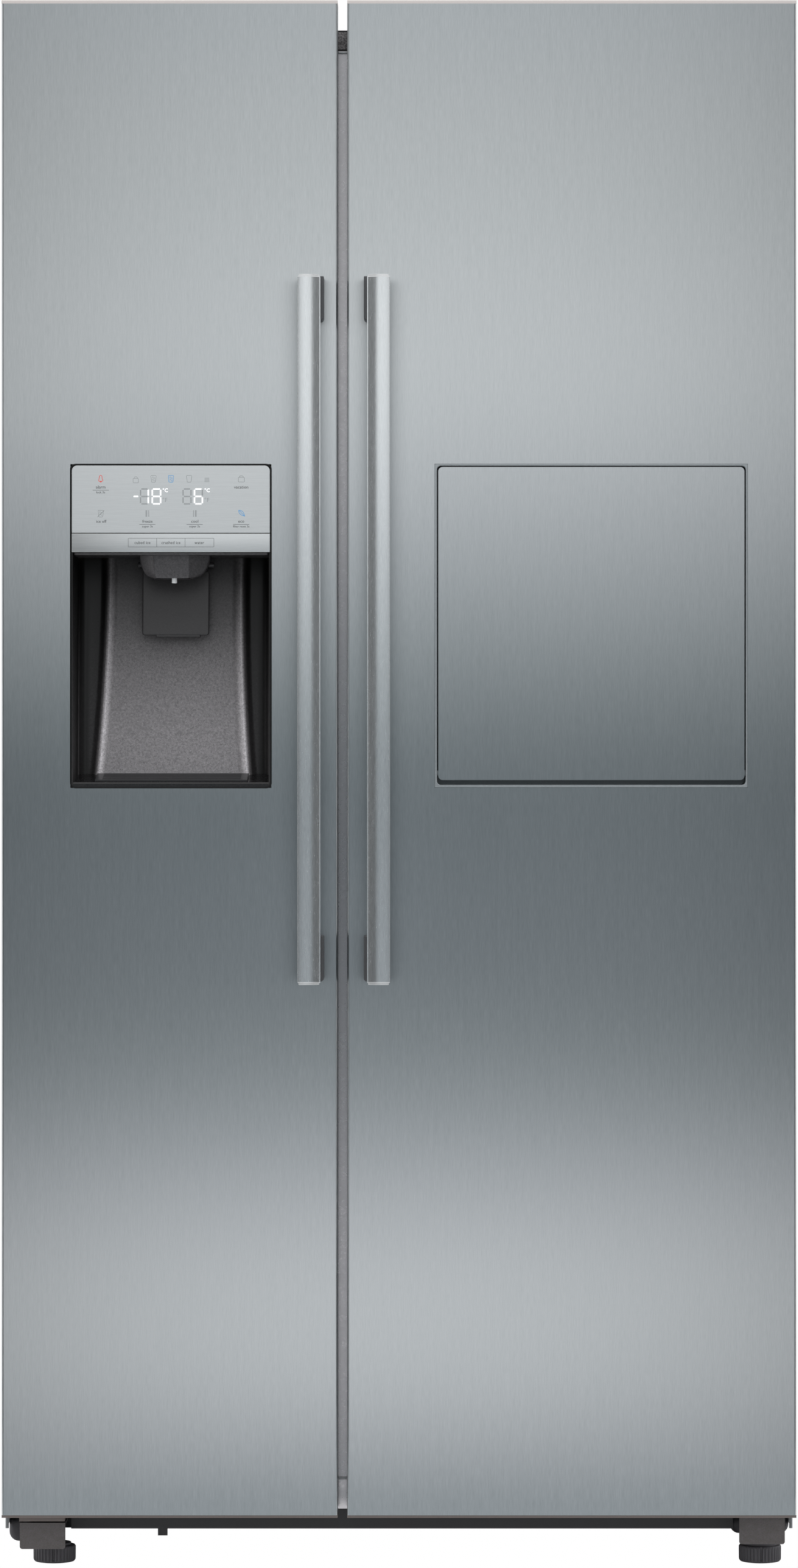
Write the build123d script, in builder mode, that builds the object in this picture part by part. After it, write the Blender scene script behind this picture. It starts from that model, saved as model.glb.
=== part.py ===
"""Side-by-side refrigerator with a water and ice dispenser and a drop-down home bar.

Frame: +X to the right, +Y to the back, +Z up, origin on the floor under the middle of the whole box.
Millimetres. Freezer on the left, fridge on the right. Each piece is one STEP file in parts/.
"""

from build123d import *
import os

os.makedirs("parts", exist_ok=True)

# ---------------------------------------------------------------- driving dimensions
WIDTH = 908
HEIGHT = 1787
DEPTH_OVER_DOORS = 707
HANDLE_REACH = 50
DOOR_GAP = 11
GAP_CENTRE_X = -64.5
SHEET = 1.0
LINER = 1.5
CLEAR = 0.3
JOINT = 0.1

HALF_W = WIDTH / 2
DEPTH = DEPTH_OVER_DOORS + HANDLE_REACH
FRONT_Y = -DEPTH / 2 + HANDLE_REACH
BACK_Y = DEPTH / 2

# cabinet box
CAB_FRONT_Y = FRONT_Y + 72
CAB_TOP = 1760
CAB_BOTTOM = 35
CORE_FRONT_Y = CAB_FRONT_Y + SHEET
CORE_BACK_Y = BACK_Y - 8.5
CORE_BOTTOM = 60
CORE_TOP = CAB_TOP - SHEET
FRAME_BOTTOM = 84
FRAME_TOP = 1739

# cold compartments, measured inside the liners
FREEZER_X = (-399, -92)
FRIDGE_X = (-37, 409)
FLOOR = 115
CEILING = 1705
STEP_Y = 125
STEP_Z = 330
REAR_Y = 312
MACHINE_FRONT_Y = 180
MACHINE_TOP = 275
SHELF_FRONT_Y = -150
GLASS = 4
FREEZER_SHELF_Z = (560, 800, 1060, 1320)
FRIDGE_SHELF_Z = (560, 780, 1010, 1240, 1470)
FREEZER_SHELF_BACK = 255
FRIDGE_SHELF_BACK = 285
LEDGE = 6
RUNNER_Z = 338

# doors
FREEZER_DOOR_X = (-HALF_W + 1, GAP_CENTRE_X - DOOR_GAP / 2)
FRIDGE_DOOR_X = (GAP_CENTRE_X + DOOR_GAP / 2, HALF_W - 1)
DOOR_BOTTOM = 57
SKIN_Z = (60, 1783)
CORE_Z = (90, 1735)
SKIN_BACK_Y = FRONT_Y + 56.5
DOOR_CORE_BACK_Y = FRONT_Y + 58.5
DOOR_BACK_Y = FRONT_Y + 61
EDGE_ROUND = 2.5
LINER_INSET = 8
LINER_SHEET_Z = (62, 1748)
DYKE_DEPTH = 45
DYKE_WIDTH = 18
DYKE_CLEAR = 14
DYKE_Z = (130, 1690)
SEAL_Z = (92, 1728)
SEAL_WIDTH = 18
SEAL_BACK_Y = CAB_FRONT_Y - CLEAR
PIN_X = 425
PIN_Y = FRONT_Y + 30
PIN_R = 5
PIN_Z = (76, 1741)
RUNNING = 0.08

# dispenser in the freezer door
DISP_X = (-374.5, -145.5)
DISP_Z = (889, 1258)
PANEL_BOTTOM = 1157.7
PANEL_SPLIT = 1179.2
DRIP_FLOOR_Z = (894.9, 904.6)
DRIP_FLOOR_DEPTH = 66
RECESS_BACK_Y = FRONT_Y + 93.5
BULGE_BACK_Y = FRONT_Y + 123.5
BULGE_TOP = 1400
CHUTE_X = (-298, -216)
CHUTE_MOUTH_Z = (1345, 1395)
SPOUT_X = -257

# home bar in the fridge door
BAR_X = (40.5, 397.5)
BAR_Z = (889.5, 1258.5)
FLAP_X = (44.8, 393.7)
FLAP_Z = (898, 1254.8)
FLAP_DEPTH = 35
POCKET_DEPTH = 41
BAR_OPEN_X = (66, 372)
BAR_OPEN_Z = (922, 1232)
FLAP_PIN_Y = FRONT_Y + 10
FLAP_PIN_Z = 906
FLAP_PIN_R = 4

# handles
HANDLE_Z = (666.3, 1470.2)
HANDLE_WIDTH = 26
HANDLE_DEPTH = 17
FREEZER_HANDLE_X = -101.9
FRIDGE_HANDLE_X = -23.2
HANDLE_MOUNT = (20, 52)

# feet and rollers
FOOT_R = 24.3
FOOT_HEIGHT = 22
FOOT_Y = -275
LEFT_FOOT_X = -396
RIGHT_FOOT_X = 415
STEM_R = 5
LEFT_BRACKET_TOP = 49
RIGHT_BRACKET_TOP = 56
FLOOR_SHEET = 1.5
TRAY_Z = 45
ROLLER_X = 434
ROLLER_WIDTH = 18
AXLE_R = 4
FRONT_ROLLER = {"y": -190, "z": 34, "r": 20}
REAR_ROLLER = {"y": 320, "z": 22, "r": 22}


# ---------------------------------------------------------------- helpers
def block(x, y, z, mode=Mode.ADD):
    """A box between two limits on each axis."""
    with Locations((sum(x) / 2, sum(y) / 2, sum(z) / 2)):
        Box(x[1] - x[0], y[1] - y[0], z[1] - z[0], mode=mode)


def rod(centre, axis, radius, length, mode=Mode.ADD):
    """A cylinder centred on a point, along the axis named "x", "y" or "z"."""
    turn = {"x": (0, 90, 0), "y": (90, 0, 0), "z": (0, 0, 0)}[axis]
    with Locations(centre):
        Cylinder(radius, length, rotation=turn, mode=mode)


def grown(limits, by):
    """Two limits moved apart by the same amount on both sides."""
    return (limits[0] - by, limits[1] + by)


def mirrored(limits, side):
    """Limits given for the right side, placed on the side -1 or +1."""
    return tuple(sorted((side * limits[0], side * limits[1])))


def save(built, name):
    """Labels a finished piece and writes it as its own STEP file."""
    built.part.label = name
    export_step(built.part, f"parts/{name}.step")


# ---------------------------------------------------------------- cabinet
def make_outer_panels():
    """Two painted side sheets and a top sheet."""
    with BuildPart() as outer_panels:
        for side in (-1, 1):
            block(mirrored((HALF_W - SHEET, HALF_W), side), (CAB_FRONT_Y, BACK_Y), (CAB_BOTTOM, CAB_TOP))
        inside = HALF_W - SHEET - JOINT
        block((-inside, inside), (CAB_FRONT_Y, BACK_Y), (CAB_TOP - SHEET, CAB_TOP))
    save(outer_panels, "outer_panels")


def make_cabinet_foam():
    """Foamed insulation, poured in one go on the real cabinet: blocks a hair apart, so each stays simple."""
    half = HALF_W - SHEET
    ceiling = CEILING + LINER
    rear = REAR_Y + LINER
    floor = FLOOR - LINER
    step_top = STEP_Z - LINER
    step_front = STEP_Y + LINER
    walls_x = (
        (-half, FREEZER_X[0] - LINER),
        (FREEZER_X[1] + LINER, FRIDGE_X[0] - LINER),
        (FRIDGE_X[1] + LINER, half),
    )
    with BuildPart() as cabinet_foam:
        block((-half, half), (CORE_FRONT_Y, MACHINE_FRONT_Y), (CORE_BOTTOM, floor))
        block((-half, half), (step_front, MACHINE_FRONT_Y), (floor + JOINT, MACHINE_TOP - JOINT))
        block((-half, half), (step_front, CORE_BACK_Y), (MACHINE_TOP, step_top))
        block((-half, half), (rear, CORE_BACK_Y), (step_top + JOINT, ceiling - JOINT))
        block((-half, half), (CORE_FRONT_Y, CORE_BACK_Y), (ceiling, CORE_TOP))
        for x in walls_x:
            block(x, (CORE_FRONT_Y, step_front - JOINT), (floor + JOINT, step_top))
            block(x, (CORE_FRONT_Y, rear - JOINT), (step_top + JOINT, ceiling - JOINT))
    save(cabinet_foam, "cabinet_foam")


def make_liner(name, x, shelves, shelf_back):
    """Vacuum-formed compartment liner, open at the front, with a step over the compressor bay and moulded ledges."""
    outline = ((CAB_FRONT_Y, FLOOR), (STEP_Y, FLOOR), (STEP_Y, STEP_Z), (REAR_Y, STEP_Z), (REAR_Y, CEILING))
    inside = [*outline, (CAB_FRONT_Y, CEILING)]
    outside = [
        (CAB_FRONT_Y, FLOOR - LINER),
        (STEP_Y + LINER, FLOOR - LINER),
        (STEP_Y + LINER, STEP_Z - LINER),
        (REAR_Y + LINER, STEP_Z - LINER),
        (REAR_Y + LINER, CEILING + LINER),
        (CAB_FRONT_Y, CEILING + LINER),
    ]
    with BuildPart() as liner:
        with BuildSketch(Plane.YZ.offset(x[0] - LINER)):
            Polygon(*outside, align=None)
        extrude(amount=x[1] - x[0] + 2 * LINER)
        with BuildSketch(Plane.YZ.offset(x[0])):
            Polygon(*inside, align=None)
        extrude(amount=x[1] - x[0], mode=Mode.SUBTRACT)
        for wall, inward in ((x[0], 1), (x[1], -1)):
            ledge_x = tuple(sorted((wall, wall + inward * LEDGE)))
            runner_x = tuple(sorted((wall, wall + inward * 12)))
            for z in shelves:
                block(ledge_x, (SHELF_FRONT_Y + 10, shelf_back), (z - LEDGE, z))
            block(runner_x, (SHELF_FRONT_Y + 5, FREEZER_SHELF_BACK - 10), (RUNNER_Z, RUNNER_Z + 5.7))
            block(runner_x, (SHELF_FRONT_Y + 5, STEP_Y), (FLOOR, FLOOR + 3.7))
    save(liner, name)


def make_front_frame():
    """Painted steel face of the cabinet that the magnetic seals close on, with the mullion between the doors."""
    half = HALF_W - SHEET
    with BuildPart() as front_frame:
        block((-half, half), (CAB_FRONT_Y, CORE_FRONT_Y), (FRAME_BOTTOM, FRAME_TOP))
        for x in (FREEZER_X, FRIDGE_X):
            hole_z = (FLOOR - LINER, CEILING + LINER)
            block(grown(x, LINER), (CAB_FRONT_Y, CORE_FRONT_Y), hole_z, Mode.SUBTRACT)
    save(front_frame, "front_frame")


HINGE_COVER_X = (380, 450)
HINGE_COVER_BACK_Y = CAB_FRONT_Y + 108


def make_top_cover():
    """Dark moulded strip across the cabinet's top front edge, with a hollow cap over each upper hinge."""
    with BuildPart() as top_cover:
        block((-450, 450), (CAB_FRONT_Y - 1.5, CAB_FRONT_Y), (FRAME_TOP, CAB_TOP + 2.5))
        block((-450, 450), (CAB_FRONT_Y - 1.5, CAB_FRONT_Y + 30), (CAB_TOP, CAB_TOP + 2.5))
        for side in (-1, 1):
            cap_x = mirrored(HINGE_COVER_X, side)
            block(cap_x, (CAB_FRONT_Y - 1.5, HINGE_COVER_BACK_Y), (CAB_TOP, CAB_TOP + 22))
        upper = top_cover.edges().filter_by_position(Axis.Z, CAB_TOP + 21.9, CAB_TOP + 22.1)
        fillet(upper, 3)
        for side in (-1, 1):
            room_x = mirrored(grown(HINGE_COVER_X, -2), side)
            block(room_x, (CAB_FRONT_Y - 1.5, HINGE_COVER_BACK_Y - 2), (CAB_TOP, CAB_TOP + 19), Mode.SUBTRACT)
    save(top_cover, "top_cover")


def make_kick_plate():
    """Black base cover under the doors, notched round the lower hinges, with a small locating tab."""
    with BuildPart() as kick_plate:
        block((-452, 452), (CAB_FRONT_Y - 2.5, CAB_FRONT_Y), (CAB_BOTTOM, FRAME_BOTTOM))
        block((-452, 452), (CAB_FRONT_Y - 2.5, CAB_FRONT_Y + 45), (CAB_BOTTOM, CAB_BOTTOM + 2.5))
        block((-278, -267), (CAB_FRONT_Y - 2.5, CAB_FRONT_Y + 1), (CAB_BOTTOM - 8, CAB_BOTTOM))
        notch_y = (CAB_FRONT_Y - 5, CAB_FRONT_Y + 60)
        block((-453, -378), notch_y, (CAB_BOTTOM - 1, 53), Mode.SUBTRACT)
        block((385, 453), notch_y, (CAB_BOTTOM - 1, 59), Mode.SUBTRACT)
    save(kick_plate, "kick_plate")


def make_base_chassis():
    """Folded steel floor with the compressor tray at the back and a pair of ears for each roller."""
    with BuildPart() as base_chassis:
        x = (-HALF_W + 2, HALF_W - 2)
        riser_y = (MACHINE_FRONT_Y - FLOOR_SHEET, MACHINE_FRONT_Y)
        block(x, (CORE_FRONT_Y, MACHINE_FRONT_Y), (CORE_BOTTOM - FLOOR_SHEET, CORE_BOTTOM - JOINT))
        block(x, riser_y, (TRAY_Z, CORE_BOTTOM - JOINT))
        block(x, (riser_y[0], CORE_BACK_Y - 1), (TRAY_Z, TRAY_Z + FLOOR_SHEET))
        ear = 2
        for roller, top in ((FRONT_ROLLER, CORE_BOTTOM - 1), (REAR_ROLLER, TRAY_Z + 0.5)):
            for side in (-1, 1):
                for inner in (ROLLER_X - 13 - ear, ROLLER_X + 13):
                    ear_x = mirrored((inner, inner + ear), side)
                    block(ear_x, grown((roller["y"], roller["y"]), 13), (roller["z"] - 8, top))
            rod((0, roller["y"], roller["z"]), "x", AXLE_R + RUNNING, WIDTH, Mode.SUBTRACT)
    save(base_chassis, "base_chassis")


def make_rollers(name, roller):
    """A pair of plastic rollers on one axle line, each with stub axles that run in the chassis ears."""
    with BuildPart() as rollers:
        for side in (-1, 1):
            centre = (side * ROLLER_X, roller["y"], roller["z"])
            rod(centre, "x", roller["r"], ROLLER_WIDTH)
            rod(centre, "x", 9, ROLLER_WIDTH + 4)
            rod(centre, "x", AXLE_R, ROLLER_WIDTH + 14)
        rims = rollers.edges().filter_by(GeomType.CIRCLE)
        fillet(rims.filter_by(lambda e: e.radius > roller["r"] - 1), 2)
    save(rollers, name)


def make_lower_hinges():
    """Folded steel brackets under the doors: a front plate, an arm, a hinge pin and a hole for the foot's stem."""
    brackets = (
        {"x": (-433.5, -381.5), "z": (19, LEFT_BRACKET_TOP), "pin": -PIN_X, "foot": LEFT_FOOT_X},
        {"x": (389, 441), "z": (24.5, RIGHT_BRACKET_TOP), "pin": PIN_X, "foot": RIGHT_FOOT_X},
    )
    plate = 3
    front, pad_front, back = PIN_Y - 12.5, PIN_Y + 48.5, PIN_Y + 73.5
    with BuildPart() as lower_hinges:
        for bracket in brackets:
            x, (low, top) = bracket["x"], bracket["z"]
            block(x, (front, front + plate), (low, top))
            block(x, (front, back), (top - plate, top))
            block(grown(x, -8), (pad_front, back), (top, CORE_BOTTOM - FLOOR_SHEET))
            rod((bracket["pin"], PIN_Y, (top + PIN_Z[0]) / 2), "z", PIN_R, PIN_Z[0] - top)
            rod((bracket["foot"], FOOT_Y, top), "z", STEM_R + RUNNING, 30, Mode.SUBTRACT)
        corners = lower_hinges.edges().filter_by(Axis.Y).filter_by(lambda e: abs(e.length - plate) < 0.01)
        fillet(corners.filter_by(lambda e: e.center().Z < 30), 3)
    save(lower_hinges, "lower_hinges")


def make_upper_hinges():
    """Steel plates on the cabinet's top, each with an arm out over the door and a pin down into its cap."""
    plate = 4
    boss_r = 9
    arm_x = (PIN_X - 7, PIN_X + 7)
    plate_z = (CAB_TOP, CAB_TOP + plate)
    with BuildPart() as upper_hinges:
        for side in (-1, 1):
            block(mirrored((386, 446), side), (CAB_FRONT_Y + 6, CAB_FRONT_Y + 96), plate_z)
            block(mirrored(arm_x, side), (PIN_Y, CAB_FRONT_Y + 20), plate_z)
            rod((side * PIN_X, PIN_Y, CAB_TOP + plate / 2), "z", boss_r, plate)
            rod((side * PIN_X, PIN_Y, (CAB_TOP + PIN_Z[1]) / 2), "z", PIN_R, CAB_TOP - PIN_Z[1])
    save(upper_hinges, "upper_hinges")


def make_hinge_screws():
    """Flanged hex screws: three on each upper hinge plate and two under each lower bracket."""
    spots = []
    for side in (-1, 1):
        spots += [(side * 400, CAB_FRONT_Y + 80, CAB_TOP + 4, 1), (side * 432, CAB_FRONT_Y + 80, CAB_TOP + 4, 1)]
        spots += [(side * 398, CAB_FRONT_Y + 35, CAB_TOP + 4, 1)]
    spots += [(-420, -237, 46, -1), (-395, -237, 46, -1), (403, -237, 53, -1), (428, -237, 53, -1)]
    with BuildPart() as hinge_screws:
        for x, y, face, up in spots:
            rod((x, y, face + up * 0.75), "z", 7, 1.5)
            with BuildSketch(Plane.XY.offset(face)):
                with Locations((x, y)):
                    RegularPolygon(5.5, 6)
            extrude(amount=up * 5)
    save(hinge_screws, "hinge_screws")


def make_foot(name, x, stem_top):
    """Screw-in levelling foot: a grooved plastic knob on a steel stem."""
    with BuildPart() as foot:
        rod((x, FOOT_Y, FOOT_HEIGHT / 2 - 1), "z", FOOT_R, FOOT_HEIGHT - 2)
        rod((x, FOOT_Y, FOOT_HEIGHT - 1), "z", FOOT_R - 5, 2)
        fillet(foot.edges().group_by(Axis.Z)[0], 2)
        with Locations((x, FOOT_Y, 12)):
            with PolarLocations(FOOT_R, 30):
                Box(2.4, 2.2, 15, mode=Mode.SUBTRACT)
        rod((x, FOOT_Y, (FOOT_HEIGHT + stem_top) / 2), "z", STEM_R, stem_top - FOOT_HEIGHT)
    save(foot, name)


# ---------------------------------------------------------------- back and machine room
VALVE = {"x": -407.5, "z": 120}


def make_rear_panel():
    """Flat galvanised back sheet over the foam."""
    with BuildPart() as rear_panel:
        block((-452.5, 452.5), (CORE_BACK_Y, CORE_BACK_Y + 1.2), (MACHINE_TOP, CORE_TOP - 1))
    save(rear_panel, "rear_panel")


def make_machine_cover():
    """Lower back cover with ventilation slots, a notch round the water valve and a cord gland boss."""
    y = (CORE_BACK_Y - 4, CORE_BACK_Y - 2.8)
    with BuildPart() as machine_cover:
        block((-452, 452), y, (47, MACHINE_TOP - 0.5))
        block((-441, -374), grown(y, 1), (80, 160), Mode.SUBTRACT)
        with Locations((40, sum(y) / 2, 165)):
            with GridLocations(24, 42, 24, 4):
                Box(8, 5, 34, mode=Mode.SUBTRACT)
        rod((400, y[1] + 2, 90), "y", 14, 6)
        rod((400, y[1], 90), "y", 5, 20, Mode.SUBTRACT)
    save(machine_cover, "machine_cover")


def make_compressor():
    """Hermetic compressor can on a foot plate with four grommets."""
    x, y = -285, 275
    plate_z = (58, 61)
    tray_top = TRAY_Z + FLOOR_SHEET
    can_height = 150
    with BuildPart() as compressor:
        with BuildSketch(Plane.XY.offset(plate_z[1])):
            with Locations((x, y)):
                Ellipse(95, 72)
        extrude(amount=can_height)
        top = plate_z[1] + can_height
        fillet(compressor.edges().filter_by(lambda e: abs(e.center().Z - top) < 0.5), 45)
        block((x - 105, x + 105), (y - 62, y + 62), plate_z)
        with Locations((x, y, (tray_top + plate_z[0]) / 2)):
            with GridLocations(184, 100, 2, 2):
                Cylinder(9, plate_z[0] - tray_top)
        rod((x + 100, y, 140), "x", 4, 40)
        rod((x - 98, y - 20, 160), "x", 5, 40)
    save(compressor, "compressor")


def make_condenser():
    """Finned condenser block with the shroud and the shaft that carry the cooling fan."""
    ends_y, ends_z = (200, 350), (60, 255)
    tube_y = (220, 250, 280, 310, 335)
    tube_z = (80, 110, 140, 170, 200, 230)
    with BuildPart() as condenser:
        for x in (40, 112, 184, 256, 328):
            block((x, x + 1.5), ends_y, ends_z)
        for y in tube_y:
            for z in tube_z:
                rod((185, y, z), "x", 4, 310)
        block((0, 10), (188, 358), (46.6, 262))
        block((10, 40), (198, 352), (46.6, 58))
        rod((5, 275, 160), "x", 74, 20, Mode.SUBTRACT)
        block((0, 10), (266, 284), (60, 250))
        rod((-5, 275, 160), "x", 22, 30)
        rod((-35, 275, 160), "x", 3, 60)
    save(condenser, "condenser")


def make_fan(name, centre, axis, blade_r, hub_r, blades, hub_length):
    """Axial fan: a hub with a shaft bore and flat pitched blades."""
    planes = {
        "x": Plane(origin=centre, x_dir=(0, 1, 0), z_dir=(1, 0, 0)),
        "y": Plane(origin=centre, x_dir=(1, 0, 0), z_dir=(0, 1, 0)),
    }
    reach = blade_r - hub_r + 3
    with BuildPart(planes[axis]) as fan:
        Cylinder(hub_r, hub_length)
        with PolarLocations(hub_r - 3 + reach / 2, blades):
            Box(reach, blade_r * 0.62, 2.2, rotation=(24, 0, 0))
        Cylinder(3 + RUNNING, 200, mode=Mode.SUBTRACT)
    save(fan, name)


EVAP_FAN = (-245.5, 284, 1440)


def make_evaporator():
    """Fin-and-tube evaporator behind the freezer's rear cover."""
    with BuildPart() as evaporator:
        for i in range(14):
            x = -380 + i * 20.5
            block((x, x + 1.2), (272, 306), (880, 1200))
        for z in (905, 955, 1005, 1055, 1105, 1155):
            for y in (281, 297):
                rod((-246, y, z), "x", 4, 290)
    save(evaporator, "evaporator")


def make_duct_covers():
    """Freezer rear cover with air slots and the fan's guard and shaft, and the fridge's air tower."""
    cover_y = (262, 266)
    fan_x, _, fan_z = EVAP_FAN
    with BuildPart() as duct_covers:
        block((FREEZER_X[0] + 0.5, FREEZER_X[1] - 0.5), cover_y, (STEP_Z + 2, CEILING - 1))
        for z in (420, 660, 900, 1160):
            with Locations((fan_x, 264, z)):
                with GridLocations(40, 0, 5, 1):
                    Box(30, 6, 8, mode=Mode.SUBTRACT)
        rod((fan_x, 264, fan_z), "y", 58, 6, Mode.SUBTRACT)
        for turn in (0, 60, 120):
            with Locations((fan_x, 264, fan_z)):
                Box(118, 3, 5, rotation=(0, turn, 0))
        rod((fan_x, 264, fan_z), "y", 18, 3)
        rod((fan_x, 281, fan_z), "y", 3, 34)
        block((136, 236), (292, 311.5), (480, 1690))
        for z in (620, 850, 1080, 1310, 1540):
            block((151, 221), (290, 296), (z, z + 14), Mode.SUBTRACT)
    save(duct_covers, "duct_covers")


def make_water_valve():
    """Mains water valve with its threaded three-quarter-inch spigot facing back."""
    x, z = VALVE["x"], VALVE["z"]
    with BuildPart() as water_valve:
        block((x - 20, x + 20), (326, 364), (z - 28, z + 28))
        block((x - 8, x + 8), (335, 350), (46.6, z))
        rod((x, 371, z), "y", 13.2, 14)
        rod((x, 371, z), "y", 9, 16, Mode.SUBTRACT)
        chamfer(water_valve.edges().filter_by(Axis.Y), 3)
    save(water_valve, "water_valve")


# ---------------------------------------------------------------- inside the compartments
def make_led_lamps():
    """Two ceiling lamps with bevelled lenses."""
    with BuildPart() as led_lamps:
        for x in (FREEZER_X, FRIDGE_X):
            block(grown((sum(x) / 2, sum(x) / 2), 34), (-212, -188), (CEILING - 8, CEILING))
        fillet(led_lamps.edges().filter_by(Axis.Z), 4)
    save(led_lamps, "led_lamps")


def make_shelves(name, x, heights, back_y):
    """Glass shelves that rest on the liner's ledges."""
    with BuildPart() as shelves:
        for z in heights:
            block(grown(x, -1), (SHELF_FRONT_Y, back_y), (z, z + GLASS))
    save(shelves, name)


def make_ice_maker():
    """Ice maker under the freezer's ceiling: mounting plate, mould with twelve cups, and drive box."""
    mould_x, mould_y, mould_z = (-318, -160), (-110, 190), (1612, 1655)
    middle = (sum(mould_x) / 2, sum(mould_y) / 2, mould_z[1])
    cup = (60, 36, 60)
    with BuildPart() as ice_maker:
        block((-355, -135), (-120, 200), (CEILING - 6, CEILING))
        block((-355, -325), (-120, -55), (mould_z[0] - 27, CEILING))
        block((-326, mould_x[0]), (mould_y[0], -60), mould_z)
        block(mould_x, mould_y, mould_z)
        with Locations(middle):
            with GridLocations(cup[0] + 12, cup[1] + 8, 2, 6):
                Box(*cup, mode=Mode.SUBTRACT)
        for end in (mould_y[0], mould_y[1] - 10):
            block((middle[0] - 11, middle[0] + 11), (end, end + 10), (mould_z[0] + 1, CEILING))
    save(ice_maker, "ice_maker")


BUCKET = {"x": (-380, -112), "y": (-195, 215), "z": (FREEZER_SHELF_Z[3] + GLASS, 1535)}
AUGER = {"x": SPOUT_X, "z": 1374}


def make_ice_bucket():
    """Ice bucket with an outlet low in its front wall and a bearing hole for the auger in its back wall."""
    wall = 3
    with BuildPart() as ice_bucket:
        block(BUCKET["x"], BUCKET["y"], BUCKET["z"])
        fillet(ice_bucket.edges().filter_by(Axis.Z), 2 * wall)
        inner_z = (BUCKET["z"][0] + wall, BUCKET["z"][1] + 1)
        block(grown(BUCKET["x"], -wall), grown(BUCKET["y"], -wall), inner_z, Mode.SUBTRACT)
        outlet_y = (BUCKET["y"][0] - 1, BUCKET["y"][0] + wall + 1)
        block(grown(CHUTE_X, -8), outlet_y, grown(CHUTE_MOUTH_Z, -1), Mode.SUBTRACT)
        rod((AUGER["x"], BUCKET["y"][1], AUGER["z"]), "y", 6 + RUNNING, 20, Mode.SUBTRACT)
    save(ice_bucket, "ice_bucket")


def make_ice_auger():
    """Wire auger that pushes ice to the outlet, on a shaft through the bucket's back wall."""
    with BuildPart() as ice_auger:
        rod((AUGER["x"], 18, AUGER["z"]), "y", 6, 404)
        for i in range(8):
            with Locations((AUGER["x"], -165 + i * 44, AUGER["z"])):
                Box(80, 5, 7, rotation=(0, i * 45, 0))
    save(ice_auger, "ice_auger")


def make_drawer(name, x, y, z):
    """Clear drawer: an open tub with a thicker front that has a grip lip along its top edge."""
    wall = 2.5
    front = 5
    tub_x = grown(x, -3)
    grip_y = (y[0] - 14, y[0])
    with BuildPart() as drawer:
        block(x, (y[0], y[0] + front), z)
        block(tub_x, (y[0], y[1]), (z[0], z[1] - 14))
        fillet(drawer.edges().filter_by(Axis.Z).group_by(Axis.Y)[-1], 2 * wall)
        inner = (z[0] + wall, z[1] + 1)
        block(grown(tub_x, -wall), (y[0] + front, y[1] - wall), inner, Mode.SUBTRACT)
        middle = sum(x) / 2
        grip_x = grown((middle, middle), 70)
        block(grip_x, grip_y, (z[1] - 12, z[1] - 8))
        block(grip_x, (grip_y[0], grip_y[0] + 3), (z[1] - 20, z[1] - 8))
    save(drawer, name)


# ---------------------------------------------------------------- doors
def recess_limits(door_x, side):
    """The pocket in a door's top outer corner that the upper hinge arm swings through."""
    if side < 0:
        x = (door_x[0] - 1, -PIN_X + 16)
    else:
        x = (PIN_X - 16, door_x[1] + 1)
    return x, (FRONT_Y + 4, SKIN_BACK_Y + 5), (CAB_TOP - 2, HEIGHT + 1)


def make_door_skin(name, x, side, hole_x, hole_z):
    """Stainless front sheet, wrapped round both vertical edges of the door."""
    width, depth = x[1] - x[0], SKIN_BACK_Y - FRONT_Y
    with BuildPart() as skin:
        with BuildSketch(Plane.XY.offset(SKIN_Z[0])) as section:
            with Locations(((x[0] + x[1]) / 2, FRONT_Y + depth / 2)):
                Rectangle(width, depth)
            fillet(section.vertices().group_by(Axis.Y)[0], EDGE_ROUND)
            with Locations(((x[0] + x[1]) / 2, FRONT_Y + (depth + SHEET) / 2)):
                Rectangle(width - 2 * SHEET, depth - SHEET, mode=Mode.SUBTRACT)
        extrude(amount=SKIN_Z[1] - SKIN_Z[0])
        block(hole_x, (FRONT_Y - 1, FRONT_Y + 3), hole_z, Mode.SUBTRACT)
        block(*recess_limits(x, side), Mode.SUBTRACT)
    save(skin, name)


def make_door_caps(name, x, side, pad_x):
    """Moulded end caps that close the door's top and bottom, bored for the hinge pins."""
    inner = grown(x, -SHEET - JOINT)
    core_y = (FRONT_Y + SHEET + JOINT, SKIN_BACK_Y)
    with BuildPart() as caps:
        block(inner, core_y, (CORE_Z[1], SKIN_Z[1]))
        block(x, (FRONT_Y, SKIN_BACK_Y), (SKIN_Z[1], HEIGHT))
        block(inner, core_y, (SKIN_Z[0], CORE_Z[0]))
        block(x, (FRONT_Y + 1, SKIN_BACK_Y), (DOOR_BOTTOM, SKIN_Z[0]))
        if pad_x:
            block(pad_x, grown((PIN_Y, PIN_Y), 15), (LEFT_BRACKET_TOP + 2, DOOR_BOTTOM))
        block(*recess_limits(x, side), Mode.SUBTRACT)
        for end, beyond in ((PIN_Z[0] + 1, DOOR_BOTTOM - 10), (PIN_Z[1] - 1, CAB_TOP)):
            rod((side * PIN_X, PIN_Y, (end + beyond) / 2), "z", PIN_R + RUNNING, abs(beyond - end), Mode.SUBTRACT)
        fillet(caps.edges().filter_by(Axis.X).group_by(Axis.Z)[-1].sort_by(Axis.Y)[0], 2)
    save(caps, name)


def make_gasket(name, x):
    """Magnetic door seal: a closed ring on the door's back."""
    seal_y = (DOOR_BACK_Y, SEAL_BACK_Y)
    with BuildPart() as gasket:
        block(x, seal_y, SEAL_Z)
        block(grown(x, -SEAL_WIDTH), seal_y, grown(SEAL_Z, -SEAL_WIDTH), Mode.SUBTRACT)
    save(gasket, name)


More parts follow.
